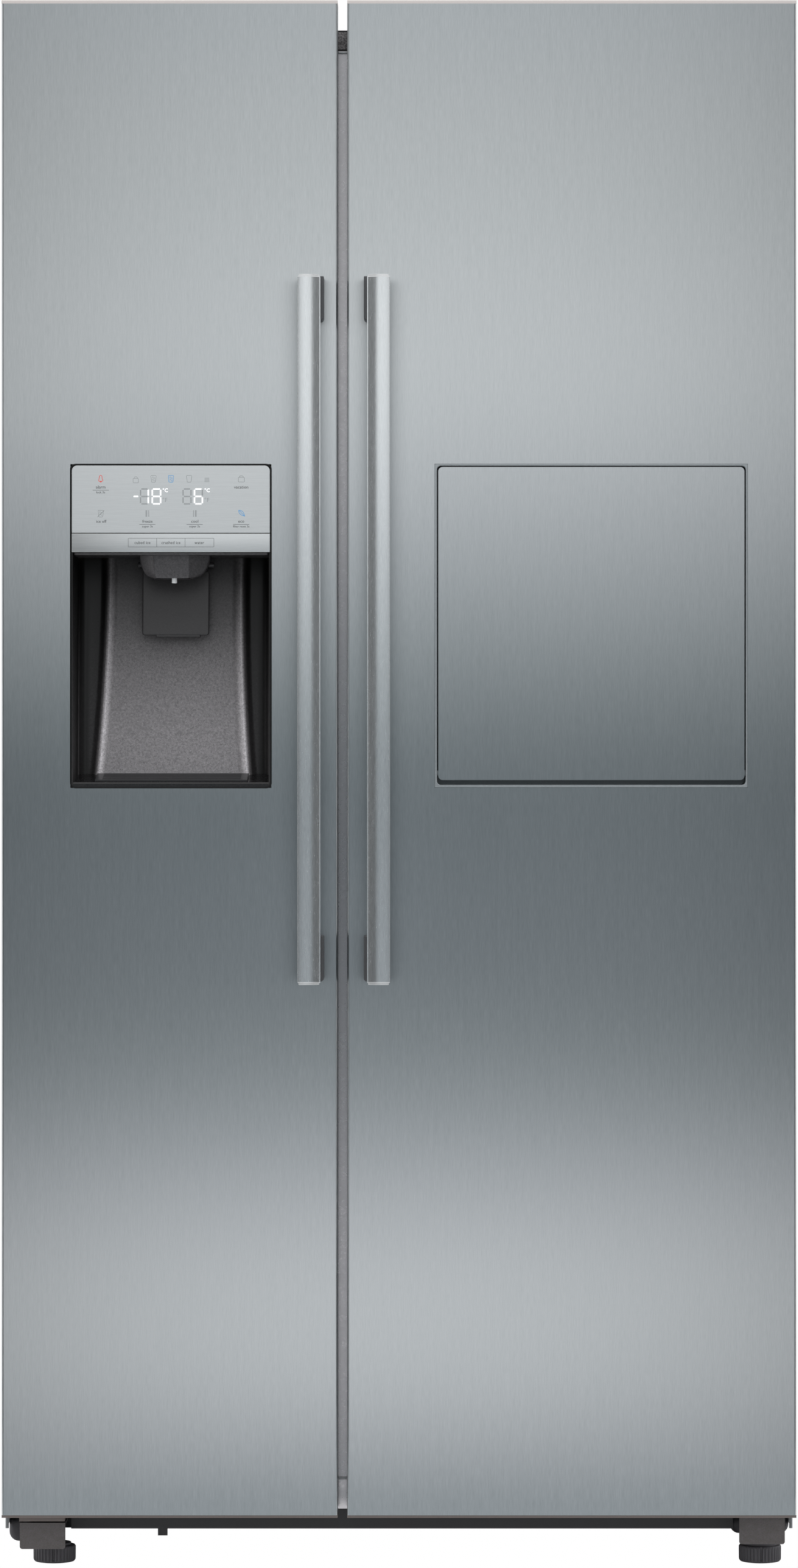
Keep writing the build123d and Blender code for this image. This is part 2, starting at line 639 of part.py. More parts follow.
def make_handle(name, x):
    """Bar grip with an arched front and a stepped cap at each end."""
    back = FRONT_Y - HANDLE_REACH + HANDLE_DEPTH
    half = HANDLE_WIDTH / 2
    shoulder = back - 10
    apex = FRONT_Y - HANDLE_REACH
    with BuildPart() as handle:
        with BuildSketch(Plane.XY.offset(HANDLE_Z[0] + 3)):
            with BuildLine():
                Line((x - half, back), (x + half, back))
                Line((x + half, back), (x + half, shoulder))
                ThreePointArc((x + half, shoulder), (x, apex), (x - half, shoulder))
                Line((x - half, shoulder), (x - half, back))
            make_face()
        extrude(amount=HANDLE_Z[1] - HANDLE_Z[0] - 6)
        for z in ((HANDLE_Z[0], HANDLE_Z[0] + 3), (HANDLE_Z[1] - 3, HANDLE_Z[1])):
            block((x - half + 2, x + half - 2), (shoulder, back), z)
    save(handle, name)


def make_handle_mounts(name, x, inward):
    """Two dark feet between the handle bar and the door, set towards the door's free edge."""
    width, tall = HANDLE_MOUNT
    inner = x + inward * (HANDLE_WIDTH / 2 + 3.7)
    mount_x = tuple(sorted((inner, inner - inward * width)))
    mount_y = (FRONT_Y - HANDLE_REACH + HANDLE_DEPTH, FRONT_Y)
    with BuildPart() as mounts:
        for z in ((HANDLE_Z[0] + 3, HANDLE_Z[0] + 3 + tall), (HANDLE_Z[1] - 3 - tall, HANDLE_Z[1] - 1)):
            block(mount_x, mount_y, z)
        chamfer(mounts.edges().filter_by(Axis.Y).group_by(Axis.Z)[0], 3)
    save(mounts, name)


def make_bins(name, x, bins):
    """Clear door bins. Each has a floor, a low back against the door and a taller front rail."""
    wall = 3
    with BuildPart() as door_bins:
        for z, depth, tall in bins:
            y = (DOOR_BACK_Y + CLEAR, DOOR_BACK_Y + depth)
            block(x, y, (z, z + tall))
            block(grown(x, -wall), grown(y, -wall), (z + wall, z + tall + 1), Mode.SUBTRACT)
            block(grown(x, -wall), (y[0] - 1, y[0] + wall), (z + tall * 0.35, z + tall + 1), Mode.SUBTRACT)
    save(door_bins, name)


FREEZER_BINS = ((150, 80, 105), (400, 80, 105), (640, 105, 105), (1580, 105, 100))
FRIDGE_BINS = ((150, 80, 105), (400, 80, 105), (640, 105, 105), (926, 112, 90), (1400, 105, 110))
FREEZER_DYKES = (FREEZER_X[0] + DYKE_CLEAR, FREEZER_X[1] - DYKE_CLEAR)
FRIDGE_DYKES = (FRIDGE_X[0] + DYKE_CLEAR, FRIDGE_X[1] - DYKE_CLEAR)


DYKE_Y = (DOOR_BACK_Y + JOINT, DOOR_BACK_Y + DYKE_DEPTH)


def dyke_spans(edges):
    """Where the two upright ribs of a door liner, which carry the bins, lie on x."""
    return (edges[0], edges[0] + DYKE_WIDTH), (edges[1] - DYKE_WIDTH, edges[1])


def between_dykes(edges):
    return (edges[0] + DYKE_WIDTH + CLEAR, edges[1] - DYKE_WIDTH - CLEAR)


def panels_round(x, y, z, hole_x, hole_z):
    """A flat sheet with a rectangular hole, as four panels a hair apart so that each stays simple."""
    block(x, y, (z[0], hole_z[0]))
    block(x, y, (hole_z[1], z[1]))
    block((x[0], hole_x[0]), y, grown(hole_z, -JOINT))
    block((hole_x[1], x[1]), y, grown(hole_z, -JOINT))


def make_freezer_door_liner():
    """Inner sheet of the freezer door, with ribs for the bins and a bulge round the dispenser and ice chute."""
    sheet_x, sheet_y = grown(FREEZER_DOOR_X, -LINER_INSET), (DOOR_CORE_BACK_Y, DOOR_BACK_Y)
    wall = 2
    bulge_x, bulge_z = grown(DISP_X, wall - 0.5), grown((DISP_Z[0], BULGE_TOP), wall)
    wall_y = (DOOR_BACK_Y + JOINT, BULGE_BACK_Y - JOINT)
    with BuildPart() as liner:
        panels_round(sheet_x, sheet_y, LINER_SHEET_Z, bulge_x, bulge_z)
        panels_round(bulge_x, (BULGE_BACK_Y, BULGE_BACK_Y + wall), bulge_z, CHUTE_X, CHUTE_MOUTH_Z)
        for low in (bulge_z[0], bulge_z[1] - wall):
            block(bulge_x, wall_y, (low, low + wall))
        for low in (bulge_x[0], bulge_x[1] - wall):
            block((low, low + wall), wall_y, grown(bulge_z, -wall - JOINT))
        beside_bulge, free = dyke_spans(FREEZER_DYKES)
        block(free, DYKE_Y, DYKE_Z)
        block(beside_bulge, DYKE_Y, (DYKE_Z[0], bulge_z[0] - JOINT))
        block(beside_bulge, DYKE_Y, (bulge_z[1] + JOINT, DYKE_Z[1]))
        block((beside_bulge[0], bulge_x[0] - JOINT), DYKE_Y, bulge_z)
    save(liner, "freezer_door_liner")


def make_freezer_door_foam():
    """Freezer door insulation in blocks round the dispenser pocket and the ice chute."""
    x = grown(FREEZER_DOOR_X, -SHEET - JOINT)
    y = (FRONT_Y + SHEET, DOOR_CORE_BACK_Y - JOINT)
    pocket = DISP_X
    bulge = grown(DISP_X, -0.6)
    deep_y = (DOOR_CORE_BACK_Y + 1, BULGE_BACK_Y - JOINT)
    with BuildPart() as foam:
        block(x, y, (CORE_Z[0] + JOINT, DISP_Z[0] - 0.5))
        block(x, y, (DISP_Z[1] + 0.5, CORE_Z[1] - JOINT))
        block((x[0], pocket[0] - 0.5), y, (DISP_Z[0] - 0.4, DISP_Z[1] + 0.4))
        block((pocket[1] + 0.5, x[1]), y, (DISP_Z[0] - 0.4, DISP_Z[1] + 0.4))
        block(bulge, (RECESS_BACK_Y + JOINT, deep_y[1]), (DISP_Z[0] + 1, PANEL_BOTTOM - 1))
        block((bulge[0], CHUTE_X[0]), deep_y, (PANEL_BOTTOM, BULGE_TOP - JOINT))
        block((CHUTE_X[1], bulge[1]), deep_y, (PANEL_BOTTOM, BULGE_TOP - JOINT))
        block(grown(CHUTE_X, -JOINT), (deep_y[1] - 7, deep_y[1]), (PANEL_BOTTOM, CHUTE_MOUTH_Z[0] - 2))
        with BuildSketch(Plane.YZ.offset(CHUTE_X[0] + JOINT)):
            slope_y = (deep_y[0], deep_y[1] - 7 - JOINT)
            slope = ((slope_y[0], PANEL_BOTTOM), (slope_y[1], PANEL_BOTTOM), (slope_y[1], PANEL_BOTTOM + 85))
            Polygon(*slope, align=None)
        extrude(amount=CHUTE_X[1] - CHUTE_X[0] - 2 * JOINT)
    save(foam, "freezer_door_foam")


def make_fridge_door_liner():
    """Inner sheet of the fridge door, open behind the home bar."""
    sheet_x, sheet_y = grown(FRIDGE_DOOR_X, -LINER_INSET), (DOOR_CORE_BACK_Y, DOOR_BACK_Y)
    with BuildPart() as liner:
        panels_round(sheet_x, sheet_y, LINER_SHEET_Z, BAR_OPEN_X, BAR_OPEN_Z)
        for x in dyke_spans(FRIDGE_DYKES):
            block(x, DYKE_Y, DYKE_Z)
    save(liner, "fridge_door_liner")


def make_fridge_door_foam():
    """Fridge door insulation in four blocks round the home bar."""
    x = grown(FRIDGE_DOOR_X, -SHEET - JOINT)
    y = (FRONT_Y + SHEET, DOOR_CORE_BACK_Y - JOINT)
    with BuildPart() as foam:
        block(x, y, (CORE_Z[0] + JOINT, BAR_Z[0] - 0.5))
        block(x, y, (BAR_Z[1] + 0.5, CORE_Z[1] - JOINT))
        block((x[0], BAR_X[0] - 0.5), y, (BAR_Z[0] - 0.4, BAR_Z[1] + 0.4))
        block((BAR_X[1] + 0.5, x[1]), y, (BAR_Z[0] - 0.4, BAR_Z[1] + 0.4))
    save(foam, "fridge_door_foam")


# ---------------------------------------------------------------- dispenser
PADDLE_X = (-295.5, -218.5)
PADDLE_AXIS = (FRONT_Y + 70.5, 1146)
SHAFT_R = 3


def make_dispenser_panel():
    """Control panel above the recess: the display plate and the narrow strip below it."""
    x = grown(DISP_X, -0.8)
    y = (FRONT_Y - 0.6, FRONT_Y + 7)
    with BuildPart() as panel:
        block(x, y, (PANEL_SPLIT + 0.3, DISP_Z[1] - 0.8))
        block(x, y, (PANEL_BOTTOM, PANEL_SPLIT - 0.3))
        top = panel.edges().filter_by(Axis.Y).group_by(Axis.Z)[-1]
        fillet(top, 6)
    save(panel, "dispenser_panel")


def make_dispenser_housing():
    """Dark moulded recess: leaning back wall, drip floor that falls to the front, lugs for the paddle's shaft."""
    front, back = FRONT_Y, RECESS_BACK_Y
    pivot_y, pivot_z = PADDLE_AXIS
    outline = (
        (front, DRIP_FLOOR_Z[0]),
        (front + DRIP_FLOOR_DEPTH, DRIP_FLOOR_Z[1]),
        (front + DRIP_FLOOR_DEPTH + 20, PANEL_BOTTOM + 1),
        (front, PANEL_BOTTOM + 1),
    )
    with BuildPart() as housing:
        block(grown(DISP_X, -0.6), (front, back), (DISP_Z[0] + 1, PANEL_BOTTOM - 0.6))
        with BuildSketch(Plane.YZ.offset(DISP_X[0] + 3)):
            Polygon(*outline, align=None)
        extrude(amount=DISP_X[1] - DISP_X[0] - 6, mode=Mode.SUBTRACT)
        for lug in ((PADDLE_X[0] - 6, PADDLE_X[0] - 1), (PADDLE_X[1] + 1, PADDLE_X[1] + 6)):
            block(lug, (pivot_y - 6, FRONT_Y + 88), (pivot_z - 6, pivot_z + 6))
        middle = sum(PADDLE_X) / 2
        rod((middle, pivot_y, pivot_z), "x", SHAFT_R + RUNNING, 140, Mode.SUBTRACT)
    save(housing, "dispenser_housing")


def make_dispenser_spout():
    """Ceiling plate of the recess with the funnel that guides ice down."""
    centre = (SPOUT_X, FRONT_Y + 36)
    wall = 3
    top = {"z": PANEL_BOTTOM - 0.6, "length": 82, "width": 44, "corner": 14}
    low = {"z": PANEL_BOTTOM - 28.5, "length": 58, "width": 38, "corner": 12}
    with BuildPart() as spout:
        block(grown(DISP_X, -3.5), (FRONT_Y + 3, FRONT_Y + 84), (PANEL_BOTTOM - 3, PANEL_BOTTOM - 0.6))
        for inset, beyond, mode in ((0, 0, Mode.ADD), (wall, 0.5, Mode.SUBTRACT)):
            for end, z in ((top, top["z"] + beyond), (low, low["z"] - beyond)):
                with BuildSketch(Plane.XY.offset(z)):
                    with Locations(centre):
                        RectangleRounded(end["length"] - 2 * inset, end["width"] - 2 * inset, end["corner"] - inset)
            loft(mode=mode)
    save(spout, "dispenser_spout")


def make_water_nozzle():
    """Short water tube inside the front of the ice funnel."""
    centre = (SPOUT_X, FRONT_Y + 26)
    with BuildPart() as nozzle:
        rod((*centre, PANEL_BOTTOM - 18), "z", 3, 33)
        rod((*centre, PANEL_BOTTOM - 20), "z", 1.8, 50, Mode.SUBTRACT)
        fillet(nozzle.edges().group_by(Axis.Z)[0].sort_by(SortBy.RADIUS)[-1], 0.8)
    save(nozzle, "water_nozzle")


def make_dispenser_paddle():
    """Paddle that a glass is pushed against: a leaning plate on a cross shaft."""
    y, z = PADDLE_AXIS
    low = z - 84
    section = ((y - 2, z), (y - 14, low + 4), (y - 17, low), (y - 9, low), (y + 2, z))
    width = PADDLE_X[1] - PADDLE_X[0]
    with BuildPart() as paddle:
        with BuildSketch(Plane.YZ.offset(PADDLE_X[0])):
            Polygon(*section, align=None)
        extrude(amount=width)
        fillet(paddle.edges().filter_by(Axis.X).group_by(Axis.Z)[0], 0.8)
        rod((sum(PADDLE_X) / 2, y, z), "x", SHAFT_R, width + 11)
    save(paddle, "dispenser_paddle")


def make_drip_grille():
    """Slotted grille on the drip floor."""
    slope = (DRIP_FLOOR_Z[1] - DRIP_FLOOR_Z[0]) / DRIP_FLOOR_DEPTH
    y = (FRONT_Y + 8, FRONT_Y + 60)
    low, high = (DRIP_FLOOR_Z[0] + slope * (end - FRONT_Y) + JOINT for end in y)
    thick = 2
    x = (-347, -173)
    with BuildPart() as grille:
        with BuildSketch(Plane.YZ.offset(x[0])):
            Polygon((y[0], low), (y[1], high), (y[1], high + thick), (y[0], low + thick), align=None)
        extrude(amount=x[1] - x[0])
        for i in range(6):
            slot_y = y[0] + 5 + i * 7.5
            block(grown(x, -8), (slot_y, slot_y + 3.5), (low - thick, high + 2 * thick), Mode.SUBTRACT)
    save(grille, "drip_grille")


# ---------------------------------------------------------------- home bar
def make_home_bar_frame():
    """Frame through the fridge door: a pocket for the flap, a seat for its seal and two hinge pins."""
    pocket_x = grown(FLAP_X, 1.5)
    pocket_z = (BAR_Z[0] + 3, BAR_Z[1] - 2.5)
    with BuildPart() as frame:
        block(BAR_X, (FRONT_Y, DOOR_CORE_BACK_Y - JOINT), BAR_Z)
        block(pocket_x, (FRONT_Y - 1, FRONT_Y + POCKET_DEPTH), pocket_z, Mode.SUBTRACT)
        block(BAR_OPEN_X, (FRONT_Y, DOOR_BACK_Y), BAR_OPEN_Z, Mode.SUBTRACT)
        for x, inward in ((pocket_x[0], 1), (pocket_x[1], -1)):
            rod((x + inward * 5, FLAP_PIN_Y, FLAP_PIN_Z), "x", FLAP_PIN_R, 12)
    save(frame, "home_bar_frame")


def flap_pin_holes(radius):
    """Bores at both ends of the flap, on its hinge line."""
    for x in FLAP_X:
        rod((x, FLAP_PIN_Y, FLAP_PIN_Z), "x", radius, 24, Mode.SUBTRACT)


def make_flap_skin():
    """Stainless sheet folded back round the flap's edges."""
    with BuildPart() as flap_skin:
        block(FLAP_X, (FRONT_Y, FRONT_Y + 15), FLAP_Z)
        fillet(flap_skin.edges().filter_by(Axis.Y), 5)
        block(grown(FLAP_X, -SHEET), (FRONT_Y + SHEET, FRONT_Y + 16), grown(FLAP_Z, -SHEET), Mode.SUBTRACT)
        flap_pin_holes(FLAP_PIN_R + 0.6)
    save(flap_skin, "flap_skin")


def make_flap_liner():
    """Foam-filled plastic back of the flap, bored for the hinge pins, with a catch at its top."""
    x, z = grown(FLAP_X, -SHEET - JOINT), grown(FLAP_Z, -SHEET - JOINT)
    with BuildPart() as flap_liner:
        block(x, (FRONT_Y + SHEET + JOINT, FRONT_Y + FLAP_DEPTH), z)
        fillet(flap_liner.edges().filter_by(Axis.Y), 5)
        flap_pin_holes(FLAP_PIN_R + RUNNING)
    save(flap_liner, "flap_liner")


def make_flap_gasket():
    """Seal round the flap's back."""
    y = (FRONT_Y + FLAP_DEPTH, FRONT_Y + POCKET_DEPTH - 0.5)
    with BuildPart() as flap_gasket:
        block((50, 388.5), y, (908, 1247))
        block((62, 376.5), y, (920, 1235), Mode.SUBTRACT)
    save(flap_gasket, "flap_gasket")


# ---------------------------------------------------------------- build everything
make_outer_panels()
make_cabinet_foam()
make_liner("freezer_liner", FREEZER_X, FREEZER_SHELF_Z, FREEZER_SHELF_BACK)
make_liner("fridge_liner", FRIDGE_X, FRIDGE_SHELF_Z, FRIDGE_SHELF_BACK)
make_front_frame()
make_top_cover()
make_kick_plate()
make_base_chassis()
make_rollers("front_rollers", FRONT_ROLLER)
make_rollers("rear_rollers", REAR_ROLLER)
make_lower_hinges()
make_upper_hinges()
make_hinge_screws()
make_foot("foot_left", LEFT_FOOT_X, 52)
make_foot("foot_right", RIGHT_FOOT_X, 56)
make_rear_panel()
make_machine_cover()
make_compressor()
make_condenser()
make_fan("condenser_fan", (-45, 275, 160), "x", 68, 20, 5, 26)
make_evaporator()
make_fan("evaporator_fan", EVAP_FAN, "y", 52, 15, 5, 18)
make_duct_covers()
make_water_valve()
make_led_lamps()
make_shelves("freezer_shelves", FREEZER_X, FREEZER_SHELF_Z, FREEZER_SHELF_BACK)
make_shelves("fridge_shelves", FRIDGE_X, FRIDGE_SHELF_Z, FRIDGE_SHELF_BACK)
make_ice_maker()
make_ice_bucket()
make_ice_auger()
for compartment, limits in (("freezer", grown(FREEZER_X, -6)), ("crisper", grown(FRIDGE_X, -6))):
    make_drawer(f"{compartment}_drawer_lower", limits, (SHELF_FRONT_Y, STEP_Y - 5), (FLOOR + 4, 325))
    make_drawer(f"{compartment}_drawer_upper", limits, (SHELF_FRONT_Y, 245), (RUNNER_Z + 6, 545))

make_door_skin("freezer_door_skin", FREEZER_DOOR_X, -1, DISP_X, DISP_Z)
make_door_skin("fridge_door_skin", FRIDGE_DOOR_X, 1, BAR_X, BAR_Z)
make_door_caps("freezer_door_caps", FREEZER_DOOR_X, -1, (-PIN_X - 9, -PIN_X + 43))
make_door_caps("fridge_door_caps", FRIDGE_DOOR_X, 1, None)
make_freezer_door_foam()
make_fridge_door_foam()
make_freezer_door_liner()
make_fridge_door_liner()
make_gasket("freezer_door_gasket", (-PIN_X + 2, FREEZER_DOOR_X[1] - 4))
make_gasket("fridge_door_gasket", (FRIDGE_DOOR_X[0] + 4, PIN_X - 2))
make_handle("freezer_handle", FREEZER_HANDLE_X)
make_handle("fridge_handle", FRIDGE_HANDLE_X)
make_handle_mounts("freezer_handle_mounts", FREEZER_HANDLE_X, 1)
make_handle_mounts("fridge_handle_mounts", FRIDGE_HANDLE_X, -1)
make_bins("freezer_door_bins", between_dykes(FREEZER_DYKES), FREEZER_BINS)
make_bins("fridge_door_bins", between_dykes(FRIDGE_DYKES), FRIDGE_BINS)
make_dispenser_panel()
make_dispenser_housing()
make_dispenser_spout()
make_water_nozzle()
make_dispenser_paddle()
make_drip_grille()
make_home_bar_frame()
make_flap_skin()
make_flap_liner()
make_flap_gasket()
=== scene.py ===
"""Looks of a side-by-side refrigerator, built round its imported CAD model.

Metres, +X right, +Y back, +Z up. The sections follow the refrigerator as it is put together.
"""

import math

import bmesh
import bpy
import numpy as np
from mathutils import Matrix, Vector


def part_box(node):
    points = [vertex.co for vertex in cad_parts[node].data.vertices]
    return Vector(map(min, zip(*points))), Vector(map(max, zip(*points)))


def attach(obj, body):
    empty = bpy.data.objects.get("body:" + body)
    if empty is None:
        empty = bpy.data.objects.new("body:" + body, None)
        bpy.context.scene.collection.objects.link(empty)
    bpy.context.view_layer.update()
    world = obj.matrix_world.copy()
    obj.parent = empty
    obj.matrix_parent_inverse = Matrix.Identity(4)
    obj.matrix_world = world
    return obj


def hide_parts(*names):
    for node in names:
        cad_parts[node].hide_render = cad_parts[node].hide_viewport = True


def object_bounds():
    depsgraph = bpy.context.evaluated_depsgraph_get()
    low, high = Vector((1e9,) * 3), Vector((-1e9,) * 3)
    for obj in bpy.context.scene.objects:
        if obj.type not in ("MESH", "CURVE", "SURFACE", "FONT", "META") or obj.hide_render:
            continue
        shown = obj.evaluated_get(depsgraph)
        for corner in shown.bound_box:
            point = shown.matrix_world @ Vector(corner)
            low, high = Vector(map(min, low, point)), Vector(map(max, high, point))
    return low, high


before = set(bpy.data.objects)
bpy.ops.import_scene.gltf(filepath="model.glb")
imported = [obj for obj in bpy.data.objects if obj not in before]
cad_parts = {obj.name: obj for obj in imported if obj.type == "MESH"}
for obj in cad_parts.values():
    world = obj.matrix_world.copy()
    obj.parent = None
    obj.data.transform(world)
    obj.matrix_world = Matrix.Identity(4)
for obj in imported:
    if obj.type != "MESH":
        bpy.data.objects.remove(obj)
cad_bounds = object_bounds()

# ---------------------------------------------------------------- studio
# A product studio: white surround, pale floor, a light bank at each side and one above. In front of
# the doors hangs one tall graded card that they mirror; its foot sweeps forward over the floor and its
# sides are flagged dark. The camera stands level with the middle of the doors.
MM = 0.001
DOOR_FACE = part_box("freezer_door_skin")[0].y
HEIGHT = cad_bounds[1][2]
CAMERA_DISTANCE = 5.9
SENSOR = 36.0
CARD_DISTANCE = 1.5
CARD_HEIGHT = 2.6
CARD_HALF_WIDTH = 3.4
SWEEP = 1.3
FLAG_EDGES = (0.54, 0.88)
FLAG_LIGHT = (1.35, 0.12)


def linear(hexadecimal):
    """An sRGB hex colour as linear red, green, blue and alpha 1."""
    channels = [int(hexadecimal[i : i + 2], 16) / 255 for i in (1, 3, 5)]
    return (*[c / 12.92 if c <= 0.04045 else ((c + 0.055) / 1.055) ** 2.4 for c in channels], 1.0)


def add(tree, kind, values=None, links=None, stops=(), **settings):
    """Adds a shader node: its settings, its fixed inputs, the sockets that feed its other inputs, and for a
    colour ramp its (position, hex) stops."""
    made = tree.nodes.new("ShaderNode" + kind)
    for key, value in settings.items():
        setattr(made, key, value)
    for key, value in (values or {}).items():
        made.inputs[key].default_value = value
    for key, socket in (links or {}).items():
        tree.links.new(socket, made.inputs[key])
    for count, (position, tone) in enumerate(stops):
        if count > 1:
            made.color_ramp.elements.new(1.0)
        made.color_ramp.elements[count].position = position
        made.color_ramp.elements[count].color = linear(tone)
    return made


def stage_sheet(name, corners, faces):
    """Flat faces for the studio, kept out of the object."""
    mesh = bpy.data.meshes.new(name)
    mesh.from_pydata(corners, [], faces)
    made = bpy.data.objects.new(name, mesh)
    bpy.context.scene.collection.objects.link(made)
    return made


scene = bpy.context.scene
scene.view_settings.view_transform = "Standard"
camera_data = bpy.data.cameras.new("camera")
camera_data.sensor_width = SENSOR
camera_data.lens = SENSOR * CAMERA_DISTANCE / HEIGHT
camera = bpy.data.objects.new("camera", camera_data)
camera.location = (0, DOOR_FACE - CAMERA_DISTANCE, HEIGHT / 2)
camera.rotation_euler = (math.pi / 2, 0, 0)
scene.collection.objects.link(camera)
scene.camera = camera

world = bpy.data.worlds.new("white_surround")
world.use_nodes = True
world.node_tree.nodes["Background"].inputs["Color"].default_value = linear("#FFFFFF")
world.node_tree.nodes["Background"].inputs["Strength"].default_value = 1.0
scene.world = world

floor = stage_sheet("floor", [(-6, -7, 0), (6, -7, 0), (6, 5, 0), (-6, 5, 0)], [(0, 1, 2, 3)])
floor_paint = bpy.data.materials.new("matt_white_floor")
floor_paint.use_nodes = True
floor_shader = floor_paint.node_tree.nodes["Principled BSDF"]
floor_shader.inputs["Base Color"].default_value = linear("#EDEDED")
floor_shader.inputs["Roughness"].default_value = 0.6
floor.data.materials.append(floor_paint)
floor.visible_camera = False

# The card's light by the height that a flat door mirrors it at: metres up the card, or minus metres
# along its foot towards the doors.
CARD_TONES = (
    (-1.3, "#7E8589"),
    (-1.02, "#868E92"),
    (-0.75, "#A2A3A6"),
    (-0.45, "#AEB0B3"),
    (-0.15, "#C4C5C8"),
    (0.05, "#DDDEDF"),
    (0.16, "#E6E7E7"),
    (0.27, "#D7D7DA"),
    (0.38, "#B2B5B9"),
    (0.5, "#868E8F"),
    (0.62, "#7B8085"),
    (0.76, "#80868A"),
    (0.9, "#5F676C"),
    (1.03, "#8F9698"),
    (1.17, "#B4B8BA"),
    (1.31, "#D1D2D5"),
    (1.45, "#E7E9E9"),
    (1.58, "#E3E3E4"),
    (1.72, "#D4D7D7"),
    (1.86, "#D1D1D1"),
    (2, "#C2C6C8"),
    (2.3, "#BCBEC2"),
)
card_y = DOOR_FACE - CARD_DISTANCE
card_profile = [(card_y + SWEEP, 3 * MM), (card_y, 3 * MM), (card_y, CARD_HEIGHT)]
card = stage_sheet(
    "graded_card",
    [(side * CARD_HALF_WIDTH, y, z) for y, z in card_profile for side in (-1, 1)],
    [(0, 1, 3, 2), (2, 3, 5, 4)],
)
card.visible_camera = False
card.visible_shadow = False
card.visible_diffuse = False
card_light = bpy.data.materials.new("graded_light")
card_light.use_nodes = True
tree = card_light.node_tree
tree.nodes.clear()
place = add(tree, "TexCoord")
axes = add(tree, "SeparateXYZ", links={"Vector": place.outputs["Object"]})
foot = add(tree, "Math", {1: card_y}, {0: axes.outputs["Y"]}, operation="SUBTRACT")
height = add(tree, "Math", links={0: axes.outputs["Z"], 1: foot.outputs["Value"]}, operation="SUBTRACT")
share = add(
    tree, "MapRange", {"From Min": -SWEEP, "From Max": CARD_HEIGHT}, {"Value": height.outputs["Value"]}
)
stops = [((up + SWEEP) / (CARD_HEIGHT + SWEEP), tone) for up, tone in CARD_TONES]
tones = add(tree, "ValToRGB", links={"Fac": share.outputs["Result"]}, stops=stops)
aside = add(tree, "Math", links={0: axes.outputs["X"]}, operation="ABSOLUTE")
flag = add(
    tree,
    "MapRange",
    {"From Min": FLAG_EDGES[0], "From Max": FLAG_EDGES[1], "To Min": FLAG_LIGHT[0], "To Max": FLAG_LIGHT[1]},
    {"Value": aside.outputs["Value"]},
    interpolation_type="SMOOTHSTEP",
)
light = add(tree, "Emission", links={"Color": tones.outputs["Color"], "Strength": flag.outputs["Result"]})
add(tree, "OutputMaterial", links={"Surface": light.outputs["Emission"]})
card.data.materials.append(card_light)


def light_bank(name, place, turn, size, power):
    """A rectangular softbox."""
    data = bpy.data.lights.new(name, "AREA")
    data.shape = "RECTANGLE"
    data.size, data.size_y = size
    data.energy = power
    made = bpy.data.objects.new(name, data)
    made.location = place
    made.rotation_euler = turn
    made.visible_camera = False
    made.visible_glossy = False
    scene.collection.objects.link(made)


for side in (-1, 1):
    turn = (math.pi / 2, 0, side * math.radians(70))
    light_bank(f"side_bank_{side}", (side * 2.9, -1.5, 1.2), turn, (1.4, 2.4), 26)
light_bank("top_bank", (0, -1.6, 3.2), (math.radians(25), 0, 0), (2.4, 1.2), 30)


# ---------------------------------------------------------------- side and top sheets
# One 0.6 mm steel sheet, pre-painted metallic grey, folded over the top and hemmed at the front.
# Its rear edge turns in to hold the back panel. The paint has the faint orange peel of a coil coating.
def finish(name, dark, light, gloss, grain, relief, along=None, pattern="TexNoise", **fixed):
    """A material whose grain, so many millimetres long on x, y and z, shows in colour, gloss and height.
    A broader wave of it lies underneath. along is the axis that a brushed surface's lines follow."""
    made = bpy.data.materials.new(name)
    made.use_nodes = True
    tree = made.node_tree
    shader = tree.nodes["Principled BSDF"]
    place = add(tree, "TexCoord").outputs["Object"]
    sizes = [tuple(1 / (coarser * size * MM) for size in grain) for coarser in (1, 4.5)]
    fine_place = add(tree, "Mapping", {"Scale": sizes[0]}, {"Vector": place})
    broad_place = add(tree, "Mapping", {"Scale": sizes[1]}, {"Vector": place})
    if pattern == "TexNoise":
        fine = add(
            tree, pattern, {"Scale": 1.0, "Detail": 2.0}, {"Vector": fine_place.outputs["Vector"]}
        ).outputs["Fac"]
    else:
        fine = add(
            tree, pattern, {"Scale": 1.0}, {"Vector": fine_place.outputs["Vector"]}
        ).outputs["Distance"]
    broad = add(tree, "TexNoise", {"Scale": 1.0, "Detail": 1.0}, {"Vector": broad_place.outputs["Vector"]})
    both = add(tree, "Mix", {"Factor": 0.3}, {"A": fine, "B": broad.outputs["Fac"]})
    height = both.outputs["Result"]
    spread = add(tree, "MapRange", {"From Min": 0.3, "From Max": 0.7}, {"Value": height}).outputs["Result"]
    colour = add(tree, "ValToRGB", links={"Fac": spread}, stops=((0.0, dark), (1.0, light)))
    polish = add(tree, "MapRange", {"To Min": gloss[0], "To Max": gloss[1]}, {"Value": spread})
    bump = add(tree, "Bump", {"Strength": 0.3, "Distance": relief * MM}, {"Height": height})
    tree.links.new(colour.outputs["Color"], shader.inputs["Base Color"])
    tree.links.new(polish.outputs["Result"], shader.inputs["Roughness"])
    tree.links.new(bump.outputs["Normal"], shader.inputs["Normal"])
    if along:
        lay = add(tree, "Tangent", direction_type="RADIAL", axis=along)
        tree.links.new(lay.outputs["Tangent"], shader.inputs["Tangent"])
    for key, value in fixed.items():
        shader.inputs[key.replace("_", " ")].default_value = value
    return made


def dress(made, *nodes):
    """Gives CAD nodes their material."""
    for node in nodes:
        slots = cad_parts[node].data.materials
        slots.clear()
        slots.append(made)


def limits(node):
    """A CAD node's lower and upper limit on x, on y and on z."""
    low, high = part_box(node)
    return (low.x, high.x), (low.y, high.y), (low.z, high.z)


def grown(ends, by):
    """Two limits moved apart by the same amount at both ends."""
    return ends[0] - by, ends[1] + by


